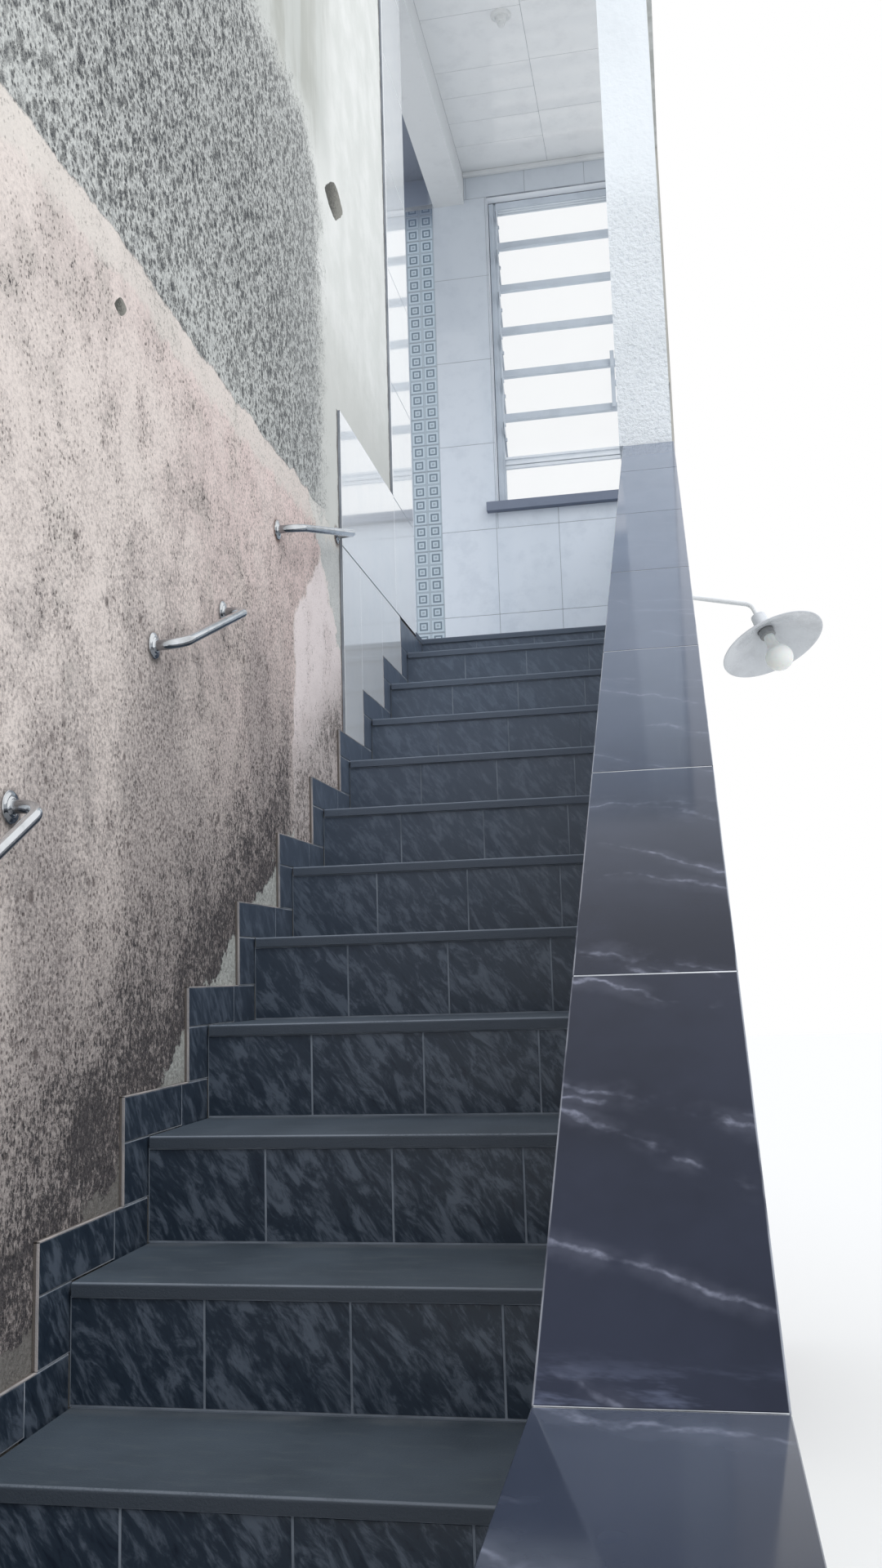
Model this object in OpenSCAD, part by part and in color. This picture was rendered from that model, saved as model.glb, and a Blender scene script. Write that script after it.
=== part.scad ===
// Exterior masonry stair between a tall side wall and a capped parapet, rising to a
// covered landing. All lengths are millimetres, +Z is up, the flight climbs along +Y
// and the side wall stands on the -X side. The ground is the plane z = 0.

/* [Steps] */
// Number of full risers below the last one
full_risers = 16; // [10:1:20]
// Height of a full riser
riser_h = 175; // [150:1:190]
// Height of the last riser, at the edge of the landing
last_riser_h = 122; // [90:1:190]
// Horizontal distance from one riser face to the next
going = 283.4; // [240:0.1:320]
// Clear width between the side wall and the parapet
stair_w = 796; // [700:1:1000]
// Thickness of the stone tread slabs
tread_t = 20; // [16:1:30]
// Overhang of a tread slab past the riser tiles
nosing = 6; // [2:1:20]
// Radius of the worn front edge of a slab
nosing_r = 5; // [2:1:8]
// Gap between the left end of a slab and the skirting
tread_gap = 4; // [1:1:8]
// Thickness of the glazed tiles with their mortar bed
tile_t = 8; // [6:1:14]
// Thickness of the concrete under the steps, square to the slope
waist_t = 120; // [90:1:180]
// Width of the beam that ends the flight under the landing edge
landing_beam_w = 150; // [100:1:180]

/* [Skirting] */
// Thickness of the dark tile skirting
skirt_t = 10; // [8:1:14]
// Height of the skirting above each tread
skirt_h = 75; // [50:1:110]
// Width of the skirting in front of each nosing
skirt_front = 90; // [50:1:120]

/* [Side wall] */
// Thickness of the masonry of the side wall
wall_core_t = 135; // [90:1:250]
// Thickness of the plaster on the side wall
plaster_t = 15; // [10:1:25]
// Length of wall and parapet in front of the first riser
foot_run = 150; // [100:1:400]
// Height of the pink plaster above the ground
pink_h = 2945; // [2000:1:3800]
// Distance from the white tiles' end to the landing edge
white_run = 1157; // [800:1:1180]
// Distance from the full-height white tiles to the landing edge
white_tall_run = 443; // [300:1:600]
// Height of the low field of white tiles above the ground
white_low_h = 3330; // [3150:1:3700]
// Distance from the end of the side wall to the landing edge
jamb_back = 100; // [40:1:180]

/* [Parapet] */
// Thickness of the parapet wall
parapet_t = 178; // [120:1:260]
// Height of the cap above the line of the nosings, measured upright
parapet_h = 635; // [450:1:1000]
// Height of the level stretch of cap at the foot, above the ground
level_h = 1337; // [1000:1:1600]
// Thickness of the cap tiles
cap_t = 12; // [8:1:30]
// Overhang of the cap past the faces of the parapet
cap_over = 5; // [0:1:20]
// Open joint between cap tiles
cap_joint = 3; // [2:1:6]
// Height of the parapet beside the landing, above its floor
landing_guard_h = 1000; // [800:1:1200]
// Depth of the pillar along the stair
pillar_d = 195; // [150:1:260]
// Reach of the pillar in front of the landing edge
pillar_lead = 23; // [5:1:60]
// Reach of the pillar's plaster past the parapet's inner face
pillar_proud = 18; // [2:1:40]

/* [Landing] */
// Depth of the landing from its edge to the tiled far wall
landing_d = 1462; // [1000:1:2000]
// Thickness of the landing slab
landing_t = 120; // [100:1:180]
// Length of floor, far wall and roof past the left face of the side wall
passage_run = 300; // [200:1:900]
// Thickness of the far wall
far_t = 150; // [100:1:220]
// Reach of the far wall past the outer face of the parapet
far_reach = 26; // [5:1:60]
// Clear height from the landing floor to the ceiling
room_h = 2864; // [2500:1:3200]
// Depth of the beam over the side passage
side_beam_h = 171; // [120:1:300]
// Thickness of the roof slab
roof_t = 120; // [90:1:180]
// Reach of the roof in front of the end of the side wall
roof_reach = 80; // [20:1:400]

/* [Window] */
// Distance from the stair's left face to the window
window_x = 116; // [60:1:160]
// Distance from the window to the parapet's inner face
window_right = 0; // [0:1:120]
// Height of the sill top above the landing floor
window_z = 1056; // [1010:1:1200]
// Height of the wall over the window
window_head = 151; // [60:1:300]
// Width of the window's outer frame
frame_w = 40; // [25:1:50]
// Depth of the window's outer frame
frame_d = 45; // [30:1:80]
// Height of a transom
transom_h = 42; // [20:1:50]
// Distance from the sill to the middle of the lowest transom
transom_z = 247; // [120:1:290]
// Height of the opening over the highest transom
top_light = 174; // [120:1:240]
// Number of transoms, each with a pivoting pane over it
transoms = 6; // [3:1:8]
// Thickness of the window glass
glass_t = 6; // [4:1:8]
// Angle by which the pivoting panes stand open
pane_tilt = 32; // [0:1:40]
// Gap over and under a pivoting pane when it is shut
pane_gap = 6; // [3:1:12]
// Thickness of the stone sill
sill_t = 45; // [25:1:60]
// Reach of the sill into the room, past the wall tiles
sill_reach = 40; // [20:1:80]
// Length of the sill past each side of the window
sill_ear = 50; // [20:1:55]

/* [Grab bars] */
// Diameter of the bars
bar_d = 20; // [15:0.5:34]
// Distance from the plaster to the middle of a bar
bar_out = 55; // [52:1:90]
// Radius of the bends at a bar's ends, at the middle of the tube
bar_bend = 44; // [24:1:48]
// Diameter of the wall flanges
flange_d = 49; // [42:1:80]
// Thickness of the wall flanges
flange_t = 7; // [4:0.5:10]

/* [Outdoor lamp] */
// Distance from the foot of the flight to the lamp
lamp_y = 2831; // [2400:1:3200]
// Depth of the lamp's arm below the underside of the cap
lamp_drop = 32; // [30:1:120]
// Length of the arm from its wall plate to its bend
arm_l = 129; // [90:1:200]
// Length of the arm after its bend
arm_end = 20; // [10:1:60]
// Angle by which the arm falls away from the wall
arm_fall = 12; // [0:1:20]
// Angle of the arm's bend
arm_turn = 60; // [40:1:80]
// Turn of the bend towards the foot of the stair
arm_twist = 20; // [0:1:30]
// Radius of the bend, at the middle of the tube
arm_r = 25; // [18:1:40]
// Diameter of the arm
arm_d = 13; // [10:1:18]
// Diameter of the wall plate
plate_d = 44; // [30:1:48]
// Diameter of the shade at its rim
shade_d = 238; // [200:1:300]
// Height of the shade
shade_h = 46; // [36:1:70]
// Thickness of the shade
shade_t = 3; // [2:1:5]
// Height of the lamp's socket
socket_h = 42; // [30:1:50]
// Diameter of the bulb
bulb_d = 62; // [45:1:66]
// Drop of the bulb's middle below the rim of the shade
bulb_drop = 34; // [20:1:45]

/* [Ceiling light] */
// Distance from the stair's left face to the middle of the rose
rose_x = 353; // [100:1:600]
// Distance from the landing edge to the middle of the rose
rose_in = 373; // [250:1:1000]
// Diameter of the ceiling rose
rose_d = 90; // [60:1:120]
// Thickness of the ceiling rose
rose_t = 18; // [10:1:30]

/* [Hidden] */
$fn = 48;
slope = riser_h / going;
pitch = atan(slope);
rise = full_risers * riser_h;
run = full_risers * going;
floor_z = rise + last_riser_h;

// Planes across the stair: core and faces of the side wall, faces of the parapet
plaster_x = -skirt_t;
core_x1 = plaster_x - plaster_t;
core_x0 = core_x1 - wall_core_t;
side_x0 = core_x0 - passage_run;
outer_x = stair_w + parapet_t;
far_x1 = outer_x + far_reach;

// Planes along the stair
far_y = run + landing_d;
far_y1 = far_y + far_t;
jamb_y = run - jamb_back;
beam_y = run + tile_t + landing_beam_w;
wall_end_y = jamb_y - tile_t;
pillar_y0 = run - pillar_lead;
pillar_y1 = pillar_y0 + pillar_d;
pillar_x0 = stair_w - pillar_proud;
ceiling_z = floor_z + room_h;
roof_y0 = jamb_y - roof_reach;
white_y0 = run - white_run;
white_y1 = run - white_tall_run;

// Cap: the slope's surface runs parapet_h above the nosings, and meets the level
// stretch at kink_y; the joints lie at these fractions of the slope
function cap_z(y) = parapet_h + riser_h + (y + nosing) * slope;
kink_y = (level_h - parapet_h - riser_h) / slope - nosing;
slope_len = (pillar_y0 - kink_y) / cos(pitch);
CAP_JOINTS = [0, 0.139, 0.278, 0.421, 0.566, 0.72, 0.876, 1];
level_tile = 600;
cap_drop = cap_t / cos(pitch);
guard_z = floor_z + landing_guard_h;

// Window: it fills the far wall up to its two margins; its top pane is a little lower than
// the others
window_w = stair_w - window_x - window_right;
window_h = room_h - window_z - window_head;
transom_pitch = (window_h - frame_w - top_light - transom_h / 2 - transom_z) / (transoms - 1);
win_z0 = floor_z + window_z;
win_z1 = win_z0 + window_h;
win_x1 = window_x + window_w;
frame_y = far_y + (far_t - frame_d) / 2;
// A strip of tile narrower than this beside the window is left out
least_strip = 30;
tile_cut_w = window_w + (window_right < least_strip ? window_right + 1 : 0);

// Grab bars: the two wall points of each, as distances along and above the steps
BAR_LOW = [[1160, 1696], [1517, 1911]];
BAR_MIDDLE = [[2024, 2273], [2391, 2437]];
BAR_HIGH = [[2777, 2754], [3343, 2931]];

// Lamp
lamp_z = cap_z(lamp_y) - cap_drop - lamp_drop;
socket_d = 34;
// How far the arm's end piece and the shade's axis point away from the wall
hang_dx = cos(arm_turn) * cos(arm_fall) - sin(arm_turn) * cos(arm_twist) * sin(arm_fall);
bend_x = (arm_l + arm_r * sin(arm_turn)) * cos(arm_fall)
  - arm_r * (1 - cos(arm_turn)) * cos(arm_twist) * sin(arm_fall);

// The origin is the middle of the bounding box, at the ground
lamp_x1 = outer_x + bend_x + (arm_end + socket_h + shade_h) * hang_dx
  + shade_d / 2 * sqrt(1 - hang_dx * hang_dx);
mid_x = (side_x0 + lamp_x1) / 2;
mid_y = (far_y1 - foot_run - cap_over) / 2;

// Moves a module's shape from the stair's own corner to the part's origin
module placed() {
  translate([-mid_x, -mid_y, 0]) children();
}

// A side view, drawn as (y, z), given a width from x0 to x1
module across(x0, x1) {
  translate([x0, 0, 0]) rotate([90, 0, 90]) linear_extrude(x1 - x0) children();
}

// A block between two corners
module block(a, b) {
  translate(a) cube(b - a);
}

// Top of tread number k
function top_z(k) = k > full_risers ? floor_z : k * riser_h;

// Height of the skirting's edge beside tread number k
function skirt_z(k) = k == full_risers ? floor_z - tread_t : top_z(k) + skirt_h;

// Points of the steps' own outline, from the ground up, set back and down
function steps_line(back, down, last) = [
  for (k = [1 : last]) each [
    [(k - 1) * going + back, max(0, top_z(k - 1) - (k > 1 ? down : 0))],
    [(k - 1) * going + back, top_z(k) - down]
  ]
];

// Upper edge of the skirting, from the ground up
function skirt_line() = [
  for (k = [1 : full_risers]) each [
    [(k - 1) * going - nosing - skirt_front, k > 1 ? skirt_z(k - 1) : 0],
    [(k - 1) * going - nosing - skirt_front, skirt_z(k)]
  ]
];

// Side view of the concrete under the steps
module concrete_line() {
  polygon(concat(steps_line(tile_t, tread_t, full_risers + 1),
    [[run + going, floor_z - tread_t], [run + going, -1], [tile_t, -1]]));
}

// Side wall: low under the landing, tall beside the flight
module left_wall() {
  color("gray") placed() across(core_x0, core_x1) polygon([
    [-foot_run, 0], [far_y, 0], [far_y, floor_z - tread_t - landing_t],
    [wall_end_y, floor_z - tread_t - landing_t],
    [wall_end_y, ceiling_z], [-foot_run, ceiling_z]
  ]);
}

// Pink plaster on the lower part of the side wall
module lower_plaster() {
  color("rosybrown") placed() across(core_x1, plaster_x) polygon([
    [-foot_run, 0], [far_y, 0], [far_y, floor_z - tread_t - landing_t],
    [wall_end_y, floor_z - tread_t - landing_t],
    [wall_end_y, pink_h], [-foot_run, pink_h]
  ]);
}

// Rough grey render on the upper part
module upper_render() {
  color("darkgray") placed()
    block([core_x1, -foot_run, pink_h], [plaster_x, wall_end_y, ceiling_z]);
}

// White tiles at the top of the flight, and round the end of the side wall
module left_wall_tiles() {
  color("white") placed() union() {
    across(plaster_x, plaster_x + tile_t) difference() {
      polygon([
        [white_y0, 0], [wall_end_y, 0], [wall_end_y, ceiling_z],
        [white_y1, ceiling_z], [white_y1, white_low_h], [white_y0, white_low_h]
      ]);
      polygon(concat(skirt_line(),
        [[run, skirt_z(full_risers)], [run, -1], [-nosing - skirt_front, -1]]));
    }
    block([core_x0, wall_end_y, floor_z], [plaster_x + tile_t, jamb_y, ceiling_z]);
  }
}

// Sloping slab of the flight, and the beam under the landing's edge that ends it
module flight() {
  under = waist_t / cos(pitch) + tread_t;
  end_y = run + tile_t;
  color("lightgray") placed() across(plaster_x, stair_w) polygon([
    [tile_t + tread_t / slope, 0], [end_y, rise - tread_t],
    [end_y, floor_z - tread_t], [beam_y, floor_z - tread_t],
    [beam_y, rise - under], [end_y, rise - under], [tile_t + under / slope, 0]
  ]);
}

// Concrete wedges that make the steps on the sloping slab
module step_blocks() {
  edge = 2;
  color("lightgray") placed() for (k = [1 : full_risers]) {
    y0 = (k - 1) * going + tile_t;
    low = k == 1 ? 0 : top_z(k - 1) - tread_t + edge;
    foot = (low - top_z(k - 1) + tread_t) / slope;
    across(plaster_x, stair_w) polygon([
      [y0, low], [y0, top_z(k) - tread_t],
      [y0 + going, top_z(k) - tread_t], [y0 + foot, low]
    ]);
  }
}

// Landing slab, with the strip that carries the guard and the side passage
module landing_slab() {
  color("lightgray") placed() translate([0, 0, floor_z - tread_t - landing_t])
    linear_extrude(landing_t) polygon([
      [side_x0, wall_end_y], [plaster_x, wall_end_y], [plaster_x, beam_y],
      [stair_w, beam_y], [stair_w, pillar_y1], [outer_x, pillar_y1],
      [outer_x, far_y], [side_x0, far_y]
    ]);
}

// Stone floor of the landing and the passage, with an eased front edge
module landing_floor() {
  color("dimgray") placed() union() {
    across(0, stair_w) slab_outline(run - nosing, far_y - tile_t, floor_z);
    block([side_x0, wall_end_y, floor_z - tread_t], [0, far_y - tile_t, floor_z]);
  }
}

// Side view of a stone slab from y0 to y1 with its top at z, and a round front edge
module slab_outline(y0, y1, z) {
  union() {
    translate([y0 + nosing_r, z - tread_t]) square([y1 - y0 - nosing_r, tread_t]);
    translate([y0, z - tread_t]) square([nosing_r, tread_t - nosing_r]);
    translate([y0 + nosing_r, z - nosing_r]) circle(nosing_r);
  }
}

// One stone tread
module tread(k) {
  y0 = (k - 1) * going;
  color("dimgray") placed() across(tread_gap, stair_w)
    slab_outline(y0 - nosing, y0 + going + tile_t, top_z(k));
}

// Dark tiles on every riser, between the slabs
module riser_tiles() {
  color("midnightblue") placed() for (k = [1 : full_risers + 1])
    block([0, (k - 1) * going, top_z(k - 1)],
          [stair_w, (k - 1) * going + tile_t, top_z(k) - tread_t]);
}

// Stepped skirting of dark tiles along the side wall
module skirting() {
  end_y = run + tile_t;
  color("midnightblue") placed() across(plaster_x, 0) difference() {
    polygon(concat(skirt_line(), [[end_y, skirt_z(full_risers)], [end_y, 0]]));
    concrete_line();
  }
}

// Parapet wall, from the ground to the underside of its cap
module parapet_wall() {
  level_z = level_h - cap_t;
  meet_y = kink_y + (cap_drop - cap_t) / slope;
  color("whitesmoke") placed() across(stair_w, outer_x) polygon([
    [-foot_run, 0], [-foot_run, level_z], [meet_y, level_z],
    [pillar_y0, cap_z(pillar_y0) - cap_drop], [pillar_y0, 0]
  ]);
}

// Polished cap tiles with open joints: level at the foot, then up the slope, and a
// level one on the guard beside the landing
module parapet_cap() {
  x0 = stair_w - cap_over;
  x1 = outer_x + cap_over;
  half = cap_joint / 2;
  end_y = -foot_run - cap_over;
  last = len(CAP_JOINTS) - 2;
  color("black") placed() union() {
    for (y1 = [kink_y : -level_tile : end_y + 40])
      block([x0, max(end_y, y1 - level_tile + half), level_h - cap_t],
            [x1, y1 - half, level_h]);
    translate([0, kink_y, level_h]) rotate([pitch, 0, 0])
      for (i = [0 : last]) cap_tile(x0, x1, slope_len * CAP_JOINTS[i] + half,
        slope_len * CAP_JOINTS[i + 1] - (i == last ? 0 : half), i == last);
    block([x0, pillar_y1, guard_z - cap_t], [x1, far_y, guard_z]);
  }
}

// One cap tile on the slope, cut upright where it meets the pillar
module cap_tile(x0, x1, s0, s1, at_pillar) {
  cut = at_pillar ? cap_t * tan(pitch) : 0;
  translate([x0, 0, 0]) rotate([90, 0, 90]) linear_extrude(x1 - x0) polygon([
    [s0, -cap_t], [s1 - cut, -cap_t], [s1, 0], [s0, 0]
  ]);
}

// Pillar from the ground to the roof, with the guard wall beside the landing
module pillar() {
  cap_end_z = cap_z(pillar_y0);
  color("white") placed() union() {
    block([stair_w, pillar_y0, 0], [outer_x, pillar_y1, ceiling_z]);
    block([pillar_x0, pillar_y0, cap_end_z], [stair_w, pillar_y1, ceiling_z]);
    block([stair_w, pillar_y1, floor_z - tread_t], [outer_x, far_y, guard_z - cap_t]);
  }
}

// Far wall: a pier on each side of the window, and the wall under and over it
module far_wall_left() {
  color("white") placed() block([side_x0, far_y, 0], [window_x, far_y1, ceiling_z]);
}

module far_wall_right() {
  color("white") placed() block([win_x1, far_y, 0], [far_x1, far_y1, ceiling_z]);
}

module far_wall_middle() {
  color("white") placed() union() {
    block([window_x, far_y, 0], [win_x1, far_y1, win_z0 - sill_t]);
    block([window_x, far_y, win_z1], [win_x1, far_y1, ceiling_z]);
  }
}

// White tiles on the far wall, cut out for the window, its sill and the beam
module far_wall_tiles() {
  color("white") placed() translate([0, far_y, 0]) rotate([90, 0, 0])
    linear_extrude(tile_t) difference() {
      translate([side_x0, floor_z - tread_t])
        square([stair_w - side_x0, room_h + tread_t]);
      translate([window_x, win_z0 - sill_t]) square([tile_cut_w, window_h + sill_t]);
      translate([core_x0, ceiling_z - side_beam_h]) square([-core_x0, side_beam_h + 1]);
    }
}

// Steel window frame with its transoms
module window_frame() {
  color("slategray") placed() translate([window_x, frame_y + frame_d, win_z0])
    rotate([90, 0, 0]) linear_extrude(frame_d) union() {
      difference() {
        square([window_w, window_h]);
        translate([frame_w, frame_w]) square([window_w - 2 * frame_w, window_h - 2 * frame_w]);
      }
      for (i = [0 : transoms - 1])
        translate([frame_w - 1, transom_z + i * transom_pitch - transom_h / 2])
          square([window_w - 2 * frame_w + 2, transom_h]);
    }
}

// Glass panes: a fixed one at the foot, and above it a pivoting one over each
// transom, its head tipped into the room and its foot out
module window_glass() {
  x0 = window_x + frame_w;
  inner_w = window_w - 2 * frame_w;
  mid_y0 = frame_y + frame_d / 2 - glass_t / 2;
  color("lightblue") placed() union() {
    block([x0, mid_y0, win_z0 + frame_w],
          [x0 + inner_w, mid_y0 + glass_t, win_z0 + transom_z - transom_h / 2]);
    for (i = [0 : transoms - 1]) {
      low = transom_z + i * transom_pitch + transom_h / 2;
      high = low + (i < transoms - 1 ? transom_pitch - transom_h : top_light);
      pane_h = high - low - 2 * pane_gap;
      translate([x0 + 0.3, mid_y0 + glass_t / 2, win_z0 + (low + high) / 2])
        rotate([pane_tilt, 0, 0]) translate([0, -glass_t / 2, -pane_h / 2])
          cube([inner_w - 0.6, glass_t, pane_h]);
    }
  }
}

// Dark stone sill with ears past both sides of the window
module window_sill() {
  front_y = far_y - tile_t - sill_reach;
  color("darkslategray") placed() translate([0, 0, win_z0 - sill_t])
    linear_extrude(sill_t) polygon([
      [window_x - sill_ear, front_y], [win_x1 + sill_ear, front_y],
      [win_x1 + sill_ear, far_y - tile_t], [win_x1, far_y - tile_t],
      [win_x1, far_y1], [window_x, far_y1],
      [window_x, far_y - tile_t], [window_x - sill_ear, far_y - tile_t]
    ]);
}

// Beam over the passage through the line of the side wall
module side_beam() {
  color("white") placed() block([core_x0, jamb_y, ceiling_z - side_beam_h],
                                [0, far_y, ceiling_z]);
}

// Roof slab over the landing
module roof_slab() {
  color("white") placed() block([side_x0, roof_y0, ceiling_z],
                                [far_x1, far_y1, ceiling_z + roof_t]);
}

// Rose and bulb holder on the ceiling
module ceiling_light() {
  color("white") placed() translate([rose_x, run + rose_in, ceiling_z])
    rotate([180, 0, 0]) rotate_extrude() polygon([
      [0, 0], [rose_d / 2, 0], [rose_d / 2, rose_t * 0.5], [rose_d / 2 - 6, rose_t],
      [24, rose_t], [20, rose_t + 22], [16, rose_t + 22], [14, rose_t + 36], [0, rose_t + 42]
    ]);
}

// One grab bar between two wall points: a tube with two square bends and two flanges
module grab_bar(ends) {
  a = ends[0];
  b = ends[1];
  len = norm(b - a);
  lean = atan2(b[1] - a[1], b[0] - a[0]);
  color("silver") placed() translate([plaster_x, a[0], a[1]]) rotate([lean, 0, 0]) union() {
    for (side = [0, 1]) translate([0, side * len, 0]) mirror([0, side, 0]) {
      rotate([0, 90, 0]) cylinder(d = flange_d, h = flange_t);
      rotate([0, 90, 0]) cylinder(d = bar_d, h = bar_out - bar_bend);
      translate([bar_out - bar_bend, bar_bend, 0]) rotate([0, 0, -90])
        rotate_extrude(angle = 90) translate([bar_bend, 0]) circle(d = bar_d);
    }
    translate([bar_out, bar_bend, 0]) rotate([-90, 0, 0])
      cylinder(d = bar_d, h = len - 2 * bar_bend);
  }
}

module grab_bar_low() { grab_bar(BAR_LOW); }

module grab_bar_middle() { grab_bar(BAR_MIDDLE); }

module grab_bar_high() { grab_bar(BAR_HIGH); }

// Lamp arm: a wall plate, a tube that falls away from it, a bend and an end piece
module lamp_arm() {
  color("whitesmoke") placed() translate([outer_x, lamp_y, lamp_z]) union() {
    rotate([0, 90, 0]) cylinder(d = plate_d, h = 5);
    from_plate() {
      translate([2, 0, 0]) rotate([0, 90, 0]) cylinder(d = arm_d, h = arm_l - 2);
      // The tube is drawn a little thinner round its bend, which starts inside both ends
      translate([arm_l, 0, -arm_r]) rotate([90, arm_turn - 87, 0])
        rotate_extrude(angle = arm_turn + 6) translate([arm_r, 0]) circle(d = arm_d - 0.6);
      past_bend() translate([0, 0, -arm_end]) cylinder(d = arm_d, h = arm_end);
    }
  }
}

// Turns things that point along +X into the arm's direction
module from_plate() {
  rotate([0, arm_fall, 0]) rotate([-arm_twist, 0, 0]) children();
}

// Moves things that hang along -Z to the end of the arm's bend
module past_bend() {
  translate([arm_l + arm_r * sin(arm_turn), 0, -arm_r * (1 - cos(arm_turn))])
    rotate([0, arm_turn - 90, 0]) children();
}

// Everything that hangs from the arm's end, in line with it
module hung() {
  placed() translate([outer_x, lamp_y, lamp_z]) from_plate() past_bend()
    translate([0, 0, -arm_end]) children();
}

// Enamelled shade: a socket cup on a shallow open cone with a rolled rim
module lamp_shade() {
  r0 = socket_d / 2;
  r1 = shade_d / 2;
  lip = shade_t;
  color("white") hung() rotate_extrude($fn = 72) polygon([
    [0, 0], [r0, 0], [r0 + 2, -socket_h], [r1 - 6, -socket_h - shade_h + lip],
    [r1, -socket_h - shade_h + lip], [r1, -socket_h - shade_h],
    [r1 - 7, -socket_h - shade_h], [r0 + 1, -socket_h - shade_t],
    [r0 - shade_t, -socket_h], [r0 - shade_t, -shade_t], [0, -shade_t]
  ]);
}

// Bulb: a ball below the rim of the shade, on a straight neck up into the socket
module lamp_bulb() {
  drop = socket_h + shade_h + bulb_drop;
  neck_r = bulb_d * 0.21;
  color("ivory") hung() rotate_extrude() union() {
    intersection() {
      translate([0, -drop]) circle(d = bulb_d);
      translate([0, -drop - bulb_d]) square([bulb_d, 2 * bulb_d]);
    }
    polygon([
      [0, -drop], [bulb_d * 0.44, -drop + bulb_d * 0.22], [neck_r, -drop + bulb_d * 0.62],
      [neck_r, -socket_h + 2], [11, -socket_h + 2], [11, -shade_t - 0.3], [0, -shade_t - 0.3]
    ]);
  }
}

left_wall();
lower_plaster();
upper_render();
left_wall_tiles();
flight();
step_blocks();
landing_slab();
landing_floor();
tread(1);  // tread_01
tread(2);  // tread_02
tread(3);  // tread_03
tread(4);  // tread_04
tread(5);  // tread_05
tread(6);  // tread_06
tread(7);  // tread_07
tread(8);  // tread_08
tread(9);  // tread_09
tread(10);  // tread_10
tread(11);  // tread_11
tread(12);  // tread_12
tread(13);  // tread_13
tread(14);  // tread_14
tread(15);  // tread_15
tread(16);  // tread_16
riser_tiles();
skirting();
parapet_wall();
parapet_cap();
pillar();
far_wall_left();
far_wall_right();
far_wall_middle();
far_wall_tiles();
window_frame();
window_glass();
window_sill();
side_beam();
roof_slab();
ceiling_light();
grab_bar_low();
grab_bar_middle();
grab_bar_high();
lamp_arm();
lamp_shade();
lamp_bulb();
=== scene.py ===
# %% [markdown]
# # A tiled stair between a plastered wall and a parapet
# This lesson dresses a masonry stair that was built as solids. The solids are loaded
# as a fixed frame in metres, so every tile, bar and pane goes where the frame says.

# %% Load the frame
import math
import random

import bmesh
import bpy
from mathutils import Matrix, Vector


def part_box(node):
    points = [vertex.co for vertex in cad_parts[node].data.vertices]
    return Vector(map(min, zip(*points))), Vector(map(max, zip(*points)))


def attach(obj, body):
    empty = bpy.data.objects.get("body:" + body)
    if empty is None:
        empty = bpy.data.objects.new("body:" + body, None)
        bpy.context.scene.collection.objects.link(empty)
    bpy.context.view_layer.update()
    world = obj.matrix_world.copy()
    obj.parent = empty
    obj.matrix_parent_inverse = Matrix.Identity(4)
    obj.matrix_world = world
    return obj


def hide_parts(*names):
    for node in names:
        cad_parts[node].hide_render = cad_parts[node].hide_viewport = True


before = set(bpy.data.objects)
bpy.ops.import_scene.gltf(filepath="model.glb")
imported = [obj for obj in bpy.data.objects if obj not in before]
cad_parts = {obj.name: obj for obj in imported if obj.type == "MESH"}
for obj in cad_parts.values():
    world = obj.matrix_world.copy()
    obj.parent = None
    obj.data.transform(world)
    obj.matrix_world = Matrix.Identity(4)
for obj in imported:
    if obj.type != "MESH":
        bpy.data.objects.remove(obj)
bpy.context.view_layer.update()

# %% [markdown]
# ## Places on the stair
# Lengths below are in millimetres from one corner of the stair: X from the side wall,
# Y from the first riser, Z from the ground. One helper turns them into the frame's
# metres. The main sizes are read from the solids, so nothing has to be fitted by eye.

# %% Measure the solids
MM = 0.001
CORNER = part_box("riser_tiles")[0]


def at(x, y, z):
    """A point of the stair, in millimetres, as a place in the frame."""
    return Vector((CORNER.x + x * MM, CORNER.y + y * MM, z * MM))


def inner(node):
    """A solid's two corners in the stair's own millimetres."""
    low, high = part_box(node)
    return [tuple((p[i] - (CORNER.x, CORNER.y, 0)[i]) / MM for i in range(3)) for p in (low, high)]


STEPS = sum(node.startswith("tread_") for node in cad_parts)
treads = [inner(f"tread_{k:02d}") for k in range(1, STEPS + 1)]
GOING = treads[1][0][1] - treads[0][0][1]
RISE = treads[1][1][2] - treads[0][1][2]
SLAB = treads[0][1][2] - treads[0][0][2]
NOSING = -treads[0][0][1]
WIDTH = treads[0][1][0]
RUN = STEPS * GOING
TOPS = [0] + [t[1][2] for t in treads] + [inner("landing_floor")[1][2]]
# The tall field of white tiles starts this far before the top step
TALL_FROM = RUN - 443
FLOOR = TOPS[-1]
FACE = inner("skirting")[0][0]
FAR_Y = inner("far_wall_left")[0][1]
CEILING = inner("roof_slab")[0][2]
OUTER = inner("parapet_wall")[1][0]
TILE = 8
print("going", round(GOING, 1), "rise", round(RISE, 1), "width", WIDTH, "floor", FLOOR)

# %% [markdown]
# ## The camera
# The photograph was taken from the steps below, near the parapet, looking up with a
# phone held upright. Its place was solved from the straight edges of the steps. The
# matrix columns are the camera's right, up and backward directions.

# %% Place the camera
EYE = (924.41, -167.9, 1655.1)
YAW, PITCH, ROLL = (math.radians(a) for a in (10.462, 8.432, -1.715))
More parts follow.
